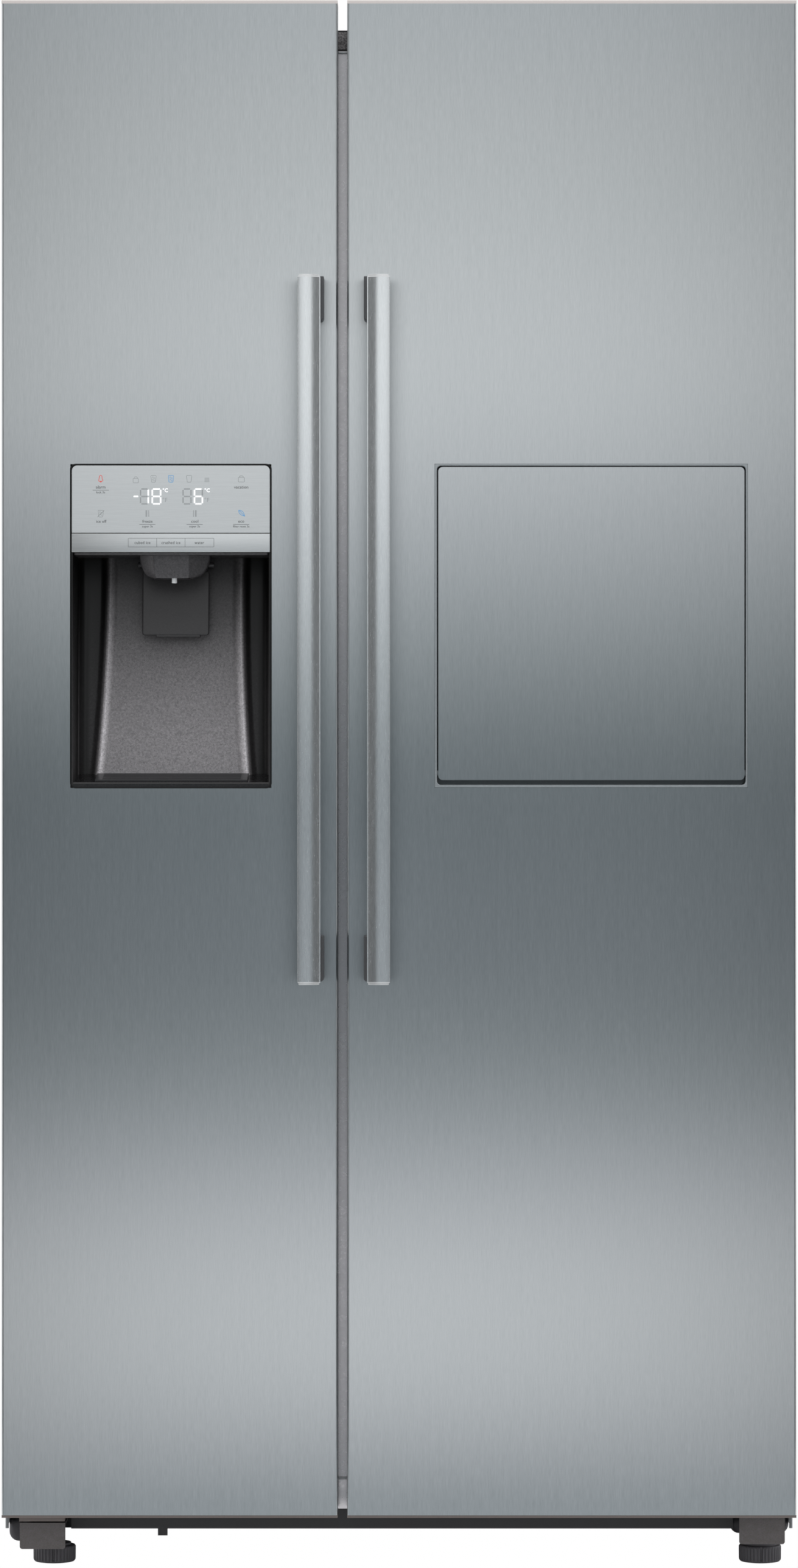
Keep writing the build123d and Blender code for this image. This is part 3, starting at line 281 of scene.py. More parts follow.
def rounded(points, radii, steps=5):
    """A line of straight sides with circular corners. Each corner is the rational quadratic curve of its
    point and its two tangent points, whose middle weight is the cosine of half the turn: a true arc."""
    points = np.asarray(points, float)
    before = points - np.roll(points, 1, axis=0)
    after = np.roll(before, -1, axis=0)
    before = before / np.linalg.norm(before, axis=1, keepdims=True)
    after = after / np.linalg.norm(after, axis=1, keepdims=True)
    half_turn = np.arccos(np.clip((before * after).sum(axis=1), -1, 1)) / 2
    reach = (np.broadcast_to(radii, len(points)) * np.tan(half_turn))[:, None]
    weight = np.cos(half_turn)[:, None, None]
    share = np.linspace(0, 1, steps + 1)[None, :, None]
    first, last = (points - before * reach)[:, None], (points + after * reach)[:, None]
    parts = (1 - share) ** 2, 2 * weight * share * (1 - share), share**2
    line = (parts[0] * first + parts[1] * points[:, None] + parts[2] * last) / sum(parts)
    return line.reshape(-1, points.shape[1])


AXES = {"x": (1, 2, 0), "y": (0, 2, 1), "z": (0, 1, 2)}


def place_rows(rows, axis):
    """Turns rows of (across, up, along) points into x, y, z for a shape that runs along an axis."""
    placed = np.empty_like(rows)
    for source, target in enumerate(AXES[axis]):
        placed[..., target] = rows[..., source]
    return placed


def drawn(section, profile, axis):
    """A section carried along an axis, scaled about its middle by each (size, place) of a profile."""
    section = np.asarray(section, float)
    middle = (section.min(axis=0) + section.max(axis=0)) / 2
    rows = [
        np.column_stack([middle + (section - middle) * size, np.full(len(section), at)])
        for size, at in profile
    ]
    return place_rows(np.array(rows), axis)


def build(name, patches, made_of, body, replaces=(), sharp=32):
    """A piece from grids of points. Each patch is (grid, kind): "tube" closes every row on itself and
    fills both ends, "ring" closes rows and columns on themselves, and "sheet" closes neither."""
    points, faces, first = [], [], 0
    for grid, kind in patches:
        rows, columns = grid.shape[:2]
        index = np.arange(rows * columns).reshape(rows, columns) + first
        if kind != "sheet":
            index = np.concatenate([index, index[:, :1]], axis=1)
        if kind == "ring":
            index = np.concatenate([index, index[:1]], axis=0)
        quads = np.stack([index[:-1, :-1], index[:-1, 1:], index[1:, 1:], index[1:, :-1]], axis=-1)
        faces += quads.reshape(-1, 4).tolist()
        if kind == "tube":
            faces += [index[0, :columns][::-1].tolist(), index[-1, :columns].tolist()]
        points.append(grid.reshape(-1, 3))
        first += rows * columns
    mesh = bpy.data.meshes.new(name)
    mesh.from_pydata(np.concatenate(points).tolist(), [], faces)
    mesh.materials.append(made_of)
    shell = bmesh.new()
    shell.from_mesh(mesh)
    bmesh.ops.remove_doubles(shell, verts=shell.verts, dist=0.002 * MM)
    bmesh.ops.dissolve_degenerate(shell, edges=shell.edges, dist=0.001 * MM)
    bmesh.ops.recalc_face_normals(shell, faces=shell.faces)
    shell.to_mesh(mesh)
    shell.free()
    mesh.shade_smooth()
    mesh.set_sharp_from_angle(angle=math.radians(sharp))
    mesh.polygons.foreach_set("use_smooth", [len(face.vertices) <= 8 for face in mesh.polygons])
    piece = bpy.data.objects.new(name, mesh)
    scene.collection.objects.link(piece)
    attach(piece, body)
    if replaces:
        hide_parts(*replaces)
    return piece


# Lacquer with a little metal flake: an even mid grey with a soft sheen.
painted_steel = finish(
    "coil_coated_steel",
    "#76797B",
    "#7E8183",
    (0.34, 0.42),
    (2.6, 2.6, 2.6),
    0.02,
    Metallic=0.35,
    Coat_Weight=0.15,
)
shell_x, shell_y, shell_z = limits("outer_panels")
fold = 2 * MM
sheet_gauge = 0.8 * MM
rear_flange = 16 * MM
# The front hem as (inset, distance back) in millimetres: turned in, then rolled over the outer edge.
hem = ((4.0, 0.6), (1.4, 0.0), (0.4, 0.4), (0.0, 1.4), (0.0, 3.0))
shell_edge = [(inset * MM, shell_y[0] + back * MM) for inset, back in hem]
shell_edge += [(0, shell_y[1] - 1.4 * MM), (0.4 * MM, shell_y[1] - 0.4 * MM), (1.4 * MM, shell_y[1])]
shell_edge += [(rear_flange, shell_y[1]), (rear_flange, shell_y[1] - sheet_gauge)]
shell_edge += [(1.4 * MM, shell_y[1] - sheet_gauge)]
shell_edge += [(1.0 * MM, shell_y[0] + 3 * MM)]


def folded_shell(edge):
    """The sheet's path up one side, over the top and down the other, moved in by each place of its edge."""
    rows = []
    for inset, back in edge:
        low, (left, right) = shell_z[0], grown(shell_x, -inset)
        top = shell_z[1] - inset
        bend = fold - min(inset, fold / 2)
        path = rounded([(left, low), (left, top), (right, top), (right, low)], [0, bend, bend, 0])
        rows.append(np.column_stack([path[:, 0], np.full(len(path), back), path[:, 1]]))
    return np.array(rows)


shell_rows = folded_shell(shell_edge)
build(
    "side_and_top_sheet",
    [(np.swapaxes(shell_rows, 0, 1), "tube")],
    painted_steel,
    "cabinet",
    ["outer_panels"],
)

# ---------------------------------------------------------------- insulation
# Rigid polyurethane foam, blown in between sheet and liners. It shows only where panels are off, as
# a pale yellow, dull mass whose closed cells, about a millimetre wide, pit its skin.
foam = finish(
    "rigid_polyurethane_foam",
    "#D9C78F",
    "#E6D8A8",
    (0.75, 0.9),
    (1.2, 1.2, 1.2),
    0.35,
    pattern="TexVoronoi",
)
dress(foam, "cabinet_foam", "freezer_door_foam", "fridge_door_foam")

# ---------------------------------------------------------------- cabinet face
# The face that the door seals close on: steel sheet in a flake-filled lacquer, a pale silver grey that
# mirrors the doors' edges softly. Its middle strip shows in the gap between the doors.
face_paint = finish(
    "metallic_grey_face_paint", "#D6D4D7", "#DEDCDF", (0.26, 0.32), (2.6, 2.6, 2.6), 0.01, Metallic=0.85
)
dress(face_paint, "front_frame")

# ---------------------------------------------------------------- compartment liners
# Each compartment is one sheet of white HIPS, vacuum formed over a mould: soft corners, a step over the
# compressor, and pressed-in ledges and runners that carry the shelves and drawers. The white is cool
# and satin, with the faintest ripple.
white_hips = finish(
    "vacuum_formed_white_hips",
    "#E6E8E8",
    "#EEF0F0",
    (0.28, 0.36),
    (3, 3, 3),
    0.02,
    IOR=1.59,
    Coat_Weight=0.1,
)


def rings(across, up, profile, axis, corner, steps=6):
    """Rounded rectangles between two limits each way, one for each (inset, place along the axis) of a
    profile: four quarter circles of points. corner is one radius, or one each, from right-top leftwards."""
    turn = np.linspace(0, math.pi / 2, steps + 1) + np.arange(4)[:, None] * math.pi / 2
    side = np.repeat([(1, 1), (-1, 1), (-1, -1), (1, -1)], steps + 1, axis=0)
    middle = np.array([sum(across) / 2, sum(up) / 2])
    half = np.array([across[1] - across[0], up[1] - up[0]]) / 2
    rows = []
    for inset, along in profile:
        radius = np.clip(np.broadcast_to(corner, 4) - inset, 1e-4 * MM, (half - inset).min())
        arc = np.stack([np.cos(turn), np.sin(turn)], axis=-1) * radius[:, None, None]
        loop = middle + side * (half - inset - np.repeat(radius, steps + 1)[:, None]) + arc.reshape(-1, 2)
        rows.append(np.column_stack([loop, np.full(len(loop), along)]))
    return place_rows(np.array(rows), axis)


def slab(near, far, round_near, round_far, steps=3):
    """(inset, place) pairs of a plate's edge: a quarter circle at each end of its thickness."""
    turn = np.linspace(0, math.pi / 2, steps + 1)
    toward = math.copysign(1, far - near)
    first = np.column_stack(
        [round_near * (1 - np.sin(turn)), near + toward * round_near * (1 - np.cos(turn))]
    )
    last = np.column_stack([round_far * (1 - np.sin(turn)), far - toward * round_far * (1 - np.cos(turn))])
    return np.concatenate([first, last[::-1]])


def tub(floor, rim, wall, base_round, steps=3):
    """(inset, place) pairs of an open box: up the outside from a round base, over the rim, down inside."""
    turn = np.linspace(0, math.pi / 2, steps + 1)
    toward = math.copysign(1, rim - floor)
    lip = 0.3 * wall
    outside = np.column_stack(
        [base_round * (1 - np.sin(turn)), floor + toward * base_round * (1 - np.cos(turn))]
    )
    edge = [(0, rim - toward * lip), (lip, rim), (wall - lip, rim), (wall, rim - toward * lip)]
    inner = max(base_round - wall, 0.5 * MM)
    inside = np.column_stack(
        [wall + inner * (1 - np.sin(turn)), floor + toward * (wall + inner * (1 - np.cos(turn)))]
    )
    return np.concatenate([outside, edge, inside[::-1]])


def bar(x, y, z, radius, axis):
    """A bar with all edges rounded, that runs along an axis between three pairs of limits."""
    spans = {"x": x, "y": y, "z": z}
    across, up = (spans["xyz"[AXES[axis][0]]], spans["xyz"[AXES[axis][1]]])
    return rings(across, up, slab(*spans[axis], radius, radius), axis, radius, 3), "tube"


def compartment(node, shelf_heights, shelf_back):
    """The liner as rounded rectangles: from its back wall forwards over the step in its floor to the
    mouth, then back along its outer face, a wall's thickness out."""
    x, (front, back), (low, high) = limits(node)
    wall, corner, ease = 1.5 * MM, 13 * MM, 9 * MM
    floor, step_top, step_y = low + wall, 330 * MM, 125 * MM
    ledge_front, runner_front, ledge, runner = -140 * MM, -145 * MM, 6 * MM, 12 * MM
    turn = np.linspace(0, math.pi / 2, 4)
    soft, late = 1 - np.cos(turn), 1 - np.sin(turn)
    to_back = [(floor, front, 0.5 * MM), (floor, front + 1 * MM, 0), (floor, step_y - ease, 0)]
    to_back += [(floor + ease * s, step_y - ease * t, 0) for s, t in zip(soft[1:], late[1:])]
    to_back += [(step_top - ease * t, step_y + ease * s, 0) for s, t in zip(soft, late)]
    to_back += [(step_top, back - wall - corner * t, corner * s) for s, t in zip(soft, late)]
    rows = [(level, along, inset) for level, along, inset in to_back[::-1]]
    rows += [(level, min(along + wall, back), inset - wall) for level, along, inset in to_back]
    grid = [
        rings(grown(x, -wall), (level, high - wall), [(inset, along)], "y", corner, 5)[0]
        for level, along, inset in rows
    ]
    patches = [(np.array(grid), "tube")]
    for edge, inward in ((x[0] + wall, 1), (x[1] - wall, -1)):
        ledge_x = tuple(sorted((edge, edge + inward * ledge)))
        runner_x = tuple(sorted((edge, edge + inward * runner)))
        for z in shelf_heights:
            patches.append(bar(ledge_x, (ledge_front, shelf_back), (z - 6 * MM, z), 2 * MM, "y"))
        patches.append(bar(runner_x, (runner_front, 245 * MM), (338 * MM, 343.7 * MM), 2 * MM, "y"))
        patches.append(bar(runner_x, (runner_front, 118 * MM), (floor, floor + 3.7 * MM), 1.5 * MM, "y"))
    return build(
        node.replace("liner", "compartment"), patches, white_hips, "cabinet", [node]
    )


FREEZER_SHELVES = [z * MM for z in (560, 800, 1060, 1320)]
FRIDGE_SHELVES = [z * MM for z in (560, 780, 1010, 1240, 1470)]
compartment("freezer_liner", FREEZER_SHELVES, 255 * MM)
compartment("fridge_liner", FRIDGE_SHELVES, 285 * MM)

# ---------------------------------------------------------------- back and machine room
# The back is zinc-coated sheet with pressed stiffening ribs. Below it a slotted cover of the same sheet
# closes the room that holds the compressor, the condenser and its fan, and the water valve.

# Zinc from a hot dip: crystals about 14 mm wide break its dull silver into spangles.
galvanised = finish(
    "hot_dip_galvanised_steel",
    "#8F9698",
    "#A9B0B2",
    (0.32, 0.5),
    (14, 14, 14),
    0.02,
    pattern="TexVoronoi",
    Metallic=0.9,
)
# Baked enamel on the compressor's can: nearly black, even and glossy.
black_enamel = finish(
    "black_compressor_enamel", "#101112", "#1A1B1C", (0.25, 0.4), (2, 2, 2), 0.05, Coat_Weight=0.3
)
# ABS off a spark-eroded tool: near-black, with a fine texture that dulls it.
black_abs = finish("black_textured_abs", "#222224", "#2C2C2F", (0.45, 0.6), (0.5, 0.5, 0.5), 0.05, IOR=1.53)
# Rolled fins: bright, with a streak every 1.2 mm of height.
fin_aluminium = finish(
    "mill_aluminium_fins", "#A8ACAE", "#BFC3C5", (0.35, 0.5), (30, 30, 1.2), 0.05, Metallic=1.0
)
# Turned brass: warm yellow with fine tool rings.
brass = finish("machined_brass", "#8E7844", "#A68E54", (0.25, 0.4), (6, 0.4, 6), 0.03, Metallic=1.0)
dress(galvanised, "machine_cover", "base_chassis")
dress(black_enamel, "compressor")
dress(fin_aluminium, "condenser", "evaporator")
dress(brass, "water_valve")

panel_x, panel_y, panel_z = limits("rear_panel")


def ribbed_back(face, rise):
    """Heights over x and z: raised fields with sloping edges, each a product of two clipped ramps."""
    x = np.linspace(*panel_x, 160)[None, :]
    z = np.linspace(*panel_z, 220)[:, None]
    relief = np.zeros((220, 160))
    for left, right in ((-400, -140), (-110, 110), (140, 400)):
        for low, high in ((330, 790), (830, 1250), (1290, 1700)):
            over_x = np.clip(np.minimum(x - left * MM, right * MM - x) / (9 * MM), 0, 1)
            over_z = np.clip(np.minimum(z - low * MM, high * MM - z) / (9 * MM), 0, 1)
            relief = np.maximum(relief, over_x * over_z)
    relief = relief**2 * (3 - 2 * relief)
    return np.stack([x + 0 * z, face + rise * relief, z + 0 * x], axis=-1)


RIB_RISE = 3 * MM
outer, inner = ribbed_back(panel_y[1], RIB_RISE), ribbed_back(panel_y[0], RIB_RISE)
edges = [np.stack([outer[i], inner[i]]) for i in (0, -1)]
edges += [np.stack([outer[:, i], inner[:, i]]) for i in (0, -1)]
back_patches = [(grid, "sheet") for grid in (outer, inner, *edges)]
build("pressed_back_panel", back_patches, galvanised, "cabinet", ["rear_panel"])


def fan(name, node, body, centre, axis, blades, hub):
    """A moulded fan. Each blade is a twisted sheet: its pitch falls and its chord sweeps on to the tip."""
    spans = dict(zip("xyz", limits(node)))
    across = [spans["xyz"[k]] for k in AXES[axis][:2]]
    along = grown(spans[axis], -0.2 * MM)
    tip = min(across[0][1] - across[0][0], across[1][1] - across[1][0]) / 2 - 1 * MM
    reach, chord = np.linspace(0.85 * hub, tip, 8)[:, None], np.linspace(-0.5, 0.5, 7)[None, :]
    pitch = np.radians(38 - 16 * (reach - hub) / (tip - hub))
    width = (along[1] - along[0]) * 0.9
    turn = chord * 1.5 * width / np.sin(pitch) * np.cos(pitch) / reach + 0.35 * (reach - hub) / tip
    lift = chord * width + 0.06 * width * np.cos(math.pi * chord)
    half_thickness = 0.9 * MM * np.sqrt(np.clip(np.cos(math.pi * chord), 0, 1))
    patches = []
    for k in range(blades):
        angle = turn + 2 * math.pi * k / blades
        faces = []
        for side in (-1, 1):
            height = sum(along) / 2 + 0 * reach + lift + side * half_thickness
            across_blade = centre[0] + reach * np.cos(angle), centre[1] + reach * np.sin(angle)
            grid = np.stack([*across_blade, height], axis=-1)
            faces.append(place_rows(grid, axis))
        patches.append((np.concatenate([faces[0], faces[1][:, ::-1]], axis=1), "tube"))
    circle = grown((centre[0], centre[0]), hub), grown((centre[1], centre[1]), hub)
    patches.append((rings(*circle, slab(*along, 2 * MM, 2 * MM), axis, hub, 8), "tube"))
    return build(name, patches, black_abs, body, [node], sharp=40)


fan("condenser_fan_wheel", "condenser_fan", "condenser_fan", (275 * MM, 160 * MM), "x", 5, 22 * MM)

# ---------------------------------------------------------------- freezer air system
# Behind the freezer's rear cover the fan draws air over a fin-and-tube evaporator. The covers are
# white HIPS mouldings with punched air slots; the fridge has a slim air tower of the same kind.
dress(white_hips, "duct_covers")
fan("evaporator_fan_wheel", "evaporator_fan", "evaporator_fan", (-245 * MM, 1440 * MM), "y", 5, 17 * MM)

# ---------------------------------------------------------------- lamps
# A strip of white LEDs behind a frosted polycarbonate lens in each ceiling. The lens is set to glow.
lamp_lens = finish("frosted_lamp_lens", "#F2F4F4", "#FFFFFF", (0.3, 0.4), (1, 1, 1), 0.05, IOR=1.58)
glow = lamp_lens.node_tree.nodes["Principled BSDF"].inputs
glow["Emission Color"].default_value = linear("#FFF9EE")
glow["Emission Strength"].default_value = 1.6
dress(lamp_lens, "led_lamps")

# ---------------------------------------------------------------- shelves
# Shelves are 4 mm toughened float glass, whose edge looks green, in white trims snapped over the front
# and back edges. The front trim stands up a little, to stop a spill.
shelf_glass = finish(
    "toughened_float_glass",
    "#DDEFE8",
    "#E6F5EF",
    (0.02, 0.05),
    (40, 40, 40),
    0.0,
    IOR=1.52,
    Transmission_Weight=0.92,
)
dress(shelf_glass, "freezer_shelves", "fridge_shelves")
TRIM_FRONT = rounded([(-150, -5), (-150, 8), (-146, 8), (-143, 5), (-130, 5), (-130, -1.5), (-140, -5)], 1.4)
TRIM_BACK = rounded([(-12, -2), (-12, 6), (0, 6), (0, -2)], 1.4)


def shelf_trims(name, x, heights, back):
    """The trims' sections carried across, with their ends drawn in slightly."""
    ends = [(0.96, x[0] + 9 * MM), (1, x[0] + 9.6 * MM), (1, x[1] - 9.6 * MM), (0.96, x[1] - 9 * MM)]
    patches = []
    for z in heights:
        for section, at in ((TRIM_FRONT, 0), (TRIM_BACK, back)):
            patches.append((drawn(section * MM + (at, z), ends, "x"), "tube"))
    return build(name, patches, white_hips, "cabinet")


shelf_trims("freezer_shelf_trims", limits("freezer_shelves")[0], FREEZER_SHELVES[:3], 255 * MM)
shelf_trims("fridge_shelf_trims", limits("fridge_shelves")[0], FRIDGE_SHELVES, 285 * MM)

# ---------------------------------------------------------------- drawers
# Drawers are injection-moulded clear polystyrene, faintly blue and rippled by its flow. They are
# thicker at the front, where a hooked lip along the top is the grip.
clear_plastic = finish(
    "clear_moulded_polystyrene",
    "#E9F1F5",
    "#F3F8FA",
    (0.05, 0.12),
    (9, 9, 9),
    0.02,
    IOR=1.59,
    Transmission_Weight=0.85,
)


def drawer(node):
    """A rounded tub behind a thicker front plate, whose grip is a hooked section carried across."""
    x, (front, back), (low, high) = limits(node)
    plate = (front + 14 * MM, front + 19 * MM)
    wall, base_round = 2.5 * MM, 9 * MM
    box = tub(low, high - 14 * MM, wall, base_round)
    body = rings(grown(x, -3 * MM), (plate[1] - 0.5 * MM, back), box, "z", 12 * MM)
    face = rings(x, (low, high), slab(*plate, 1.6 * MM, 0.8 * MM), "y", (5 * MM, 5 * MM, 9 * MM, 9 * MM))
    hook = [(0, -20), (0, -8), (15, -8), (15, -11.5), (3.4, -11.5), (3.4, -20)]
    hook = rounded(hook, (1.2, 2.6, 0.3, 0.3, 1.6, 1.2)) * MM + (front, high)
    ends = [(0.9, -70), (0.97, -69), (1, -66), (1, 66), (0.97, 69), (0.9, 70)]
    ends = [(size, sum(x) / 2 + at * MM) for size, at in ends]
    patches = [(body, "tube"), (face, "tube"), (drawn(hook, ends, "x"), "tube")]
    return build(f"{node}_tub", patches, clear_plastic, node, [node])


for node in ("freezer_drawer_lower", "freezer_drawer_upper", "crisper_drawer_lower", "crisper_drawer_upper"):
    drawer(node)

# ---------------------------------------------------------------- ice maker, bucket and auger
# Under the freezer's ceiling hangs an ice maker with twelve moulds. Its ice falls into a clear bucket,
# where a bent stainless rod turns and pushes it forward to the chute in the door.
# Light grey ABS: matt, with a fine texture.
grey_abs = finish("light_grey_abs", "#B9BCBE", "#C4C7C9", (0.4, 0.5), (0.8, 0.8, 0.8), 0.04, IOR=1.53)
dress(grey_abs, "ice_maker")
bucket_x, bucket_y, bucket_z = limits("ice_bucket")
bucket = rings(bucket_x, bucket_y, tub(*bucket_z, 3 * MM, 8 * MM), "z", 14 * MM)
outlet_x, outlet_z = (-290 * MM, -224 * MM), (1346 * MM, 1394 * MM)
collar_y, collar_wall = (bucket_y[0], bucket_y[0] + 5 * MM), 3 * MM
collar_edge = [(0, collar_y[0]), (-collar_wall, collar_y[0]), (-collar_wall, collar_y[1]), (0, collar_y[1])]
collar = rings(outlet_x, outlet_z, collar_edge, "y", 8 * MM)
build("clear_ice_bucket", [(bucket, "tube")], clear_plastic, "cabinet", ["ice_bucket"])
build("ice_outlet_collar", [(collar, "ring")], grey_abs, "cabinet")
# Drawn rod: bright, with draw lines that run lengthwise.
stainless_rod = finish(
    "drawn_stainless_rod", "#A9ADAF", "#C2C6C8", (0.18, 0.3), (1.2, 9, 1.2), 0.01, Metallic=1.0
)


def tube_along(path, radius, sides=10):
    """A round rod: circles square to the path, whose frame is kept upright on the y axis."""
    path = np.asarray(path, float)
    ahead = np.gradient(path, axis=0)
    ahead /= np.linalg.norm(ahead, axis=1, keepdims=True)
    across = np.cross(ahead, np.where(np.abs(ahead[:, 1:2]) > 0.9, [[1.0, 0, 0]], [[0, 1.0, 0]]))
    across /= np.linalg.norm(across, axis=1, keepdims=True)
    over = np.cross(ahead, across)
    turn = np.linspace(0, 2 * math.pi, sides, endpoint=False)[None, :, None]
    radius = np.broadcast_to(radius, len(path))[:, None, None]
    return path[:, None] + radius * (np.cos(turn) * across[:, None] + np.sin(turn) * over[:, None])


auger_x, auger_y, auger_z = limits("ice_auger")
axis_x, axis_z, coil = sum(auger_x) / 2, sum(auger_z) / 2, 36 * MM
turns = np.linspace(0, 1, 241)
TURNS_OF_AUGER, COILED_LENGTH, ROD_RADIUS = 3.5, 330 * MM, 3 * MM
swing = TURNS_OF_AUGER * 2 * math.pi * turns
reach = coil * np.clip(np.minimum(turns, 1 - turns) * 14, 0, 1)
helix = np.column_stack(
    [
        axis_x + reach * np.cos(swing),
        auger_y[0] + 10 * MM + turns * COILED_LENGTH,
        axis_z + reach * np.sin(swing),
    ]
)
shaft_radius = 6 * MM
shaft_box = grown((axis_x, axis_x), shaft_radius), grown((axis_z, axis_z), shaft_radius)
shaft = rings(*shaft_box, slab(*auger_y, 1 * MM, 1 * MM), "y", shaft_radius)
build(
    "coiled_ice_auger",
    [(tube_along(helix, ROD_RADIUS), "tube"), (shaft, "tube")],
    stainless_rod,
    "ice_auger",
    ["ice_auger"],
)

# ---------------------------------------------------------------- top cover and upper hinges
# A dark moulded strip finishes the cabinet's top front edge, finely textured, with a cap over each
# hinge. The hinges under the caps are plated steel plates held by flanged screws.
dress(black_abs, "top_cover", "kick_plate")
# Zinc plate: bright, slightly clouded.
zinc_plate = finish("zinc_plated_steel", "#9EA2A4", "#B8BCBE", (0.25, 0.4), (3, 3, 3), 0.02, Metallic=1.0)
dress(zinc_plate, "upper_hinges", "hinge_screws")

# ---------------------------------------------------------------- lower hinges, feet and rollers
# The cabinet stands on two grooved nylon feet that screw into folded steel brackets, painted dark grey,
# and on rollers in black housings behind them. The doors' lower pins stand on the same brackets.
# Powder coat: a dark warm grey with a fine orange peel.
bracket_paint = finish(
    "dark_grey_bracket_paint", "#45423F", "#565254", (0.4, 0.5), (1.4, 1.4, 1.4), 0.06, Metallic=0.3
)
# Glass-filled nylon: charcoal, dry and slightly rough.
nylon = finish("black_glass_filled_nylon", "#333236", "#403F43", (0.5, 0.65), (0.6, 0.6, 0.6), 0.08, IOR=1.53)
dress(bracket_paint, "lower_hinges")
dress(nylon, "front_rollers", "rear_rollers")


def foot(node):
    """A knob turned about the stem: its radius follows a profile in height and dips in narrow grooves
    round the side, and in four deeper notches, wherever a cosine of the angle rises over a threshold."""
    x, y, (low, high) = limits(node)
    centre = sum(x) / 2, sum(y) / 2
    radius = (x[1] - x[0]) / 2
    profile = [
        (0, 0), (19, 0), (22.6, 0.7), (24, 2.4), (24.2, 4), (24.3, 14), (24.3, 17.6), (23.4, 19),
        (19.4, 19.6)
    ]
    tall = (high - low) / MM
    profile += [(19, 20), (19, 22), (9, 22.4), (5, 22.6), (5, tall - 0.6), (4.4, tall), (0, tall)]
    profile = np.array(profile) * MM
    turn = np.linspace(0, 2 * math.pi, 288, endpoint=False)[None, :]
    grooves, groove_depth, notches, notch_depth = 36, 0.9 * MM, 4, 2.4 * MM
    fine = np.clip((np.cos(grooves * turn) - 0.25) * 4, 0, 1) * groove_depth
    notch = np.clip((np.cos(notches * turn) - 0.965) * 60, 0, 1) * notch_depth
    side = np.clip(np.minimum(profile[:, 1] - 1.5 * MM, 18.6 * MM - profile[:, 1]) / (2 * MM), 0, 1)[:, None]
    reach = np.minimum(profile[:, :1], radius) - np.maximum(fine, notch) * side
    x_and_y = centre[0] + reach * np.cos(turn), centre[1] + reach * np.sin(turn)
    grid = np.stack([*x_and_y, low + profile[:, 1:] + 0 * turn], axis=-1)
    return build(f"{node}_knob", [(grid, "tube")], nylon, node, [node], sharp=28)


foot("foot_left")
foot("foot_right")
housings = (((-452, -418), (15, 43)), ((384, 452), (24, 45)))
patches = []
for (left, right), (low, high) in housings:
    x, z = (left * MM, right * MM), (low * MM, high * MM)
    profile = slab(-226 * MM, -212 * MM, 7 * MM, 1 * MM, 5)
    patches.append((rings(x, z, profile, "y", (4 * MM, 4 * MM, 11 * MM, 11 * MM), 6), "tube"))
build("roller_housings", patches, nylon, "cabinet")

# ---------------------------------------------------------------- foot rail and the strip between the doors
# An enamelled steel rail closes the cabinet's foot. In the gap between the doors show a painted sheet at
# the foot, a folded and plated lip at each end, and a strip of mesh moulded in the ABS top cover.
patches = [bar((-450 * MM, 450 * MM), (-210.8 * MM, -205 * MM), (29 * MM, 84 * MM), 1 * MM, "x")]
build("foot_rail", patches, black_enamel, "cabinet")
plate_x, plate_y = (-86 * MM, -44 * MM), (-260.6 * MM, -259.1 * MM)
build(
    "mullion_foot_plate",
    [bar(plate_x, plate_y, (58 * MM, 92.4 * MM), 0.6 * MM, "z")],
    face_paint,
    "cabinet",
)
lip_y = (-261.4 * MM, -257 * MM)
lips = [bar(plate_x, lip_y, (low * MM, (low + 1.8) * MM), 0.8 * MM, "x") for low in (92.6, 1735.6)]
build("mullion_lips", lips, zinc_plate, "cabinet")
# Mesh of light and dark cells, drawn 1.7 mm wide, as coarse as they need to be to show.
cover_mesh = finish(
    "pressed_mesh_abs", "#3E3D3F", "#9A989A", (0.5, 0.6), (1.7, 1.7, 1.7), 0.4, pattern="TexVoronoi"
)
build(
    "cover_mesh_strip",
    [bar(plate_x, plate_y, (1740 * MM, 1760 * MM), 0.6 * MM, "z")],
    cover_mesh,
    "cabinet",
)

# ---------------------------------------------------------------- door sheets and caps
# The outside of both doors is 0.8 mm ferritic stainless steel, brushed upright and clear coated, folded
# back round the long edges. Moulded caps close the top and bottom.

# Bright steel with upright lines that stretch its reflections sideways. The real lines are about 0.1 mm
# apart; they are drawn nearer 1 mm so that they show.
door_steel = finish(
    "brushed_stainless_steel",
    "#C2C7C9",
    "#D2D6D8",
    (0.28, 0.32),
    (0.9, 0.9, 13),
    0.006,
    along="Z",
    Metallic=1.0,
    Anisotropic=0.8,
)
dress(door_steel, "freezer_door_skin", "fridge_door_skin", "flap_skin")
# Cap ABS with a fine texture: taupe on the lower caps, a warm light grey on the upper ones. The step between
# the two tones is partly the caps' own colours and partly painted light: the upper caps lighter as if lit
# from above, the lower ones darker as if in shade.
cap_plastic = finish("cap_abs_with_painted_top_light", "#5A524F", "#625A57", (0.4, 0.5), (0.8, 0.8, 0.8), 0.04, IOR=1.53)
tree = cap_plastic.node_tree
axes = add(tree, "SeparateXYZ", links={"Vector": add(tree, "TexCoord").outputs["Object"]})
# Painted light: above half the height the caps take the lighter grey, below it they keep the darker taupe.
upper_cap_painted_light = add(tree, "Math", {1: HEIGHT / 2}, {0: axes.outputs["Z"]}, operation="GREATER_THAN")
grain_colour = tree.nodes["Color Ramp"].outputs["Color"]
tone = add(
    tree,
    "Mix",
    {"B": linear("#A19C9A")},
    {"Factor": upper_cap_painted_light.outputs["Value"], "A": grain_colour},
    data_type="RGBA",
)
tree.links.new(tone.outputs["Result"], tree.nodes["Principled BSDF"].inputs["Base Color"])
dress(cap_plastic, "freezer_door_caps", "fridge_door_caps")

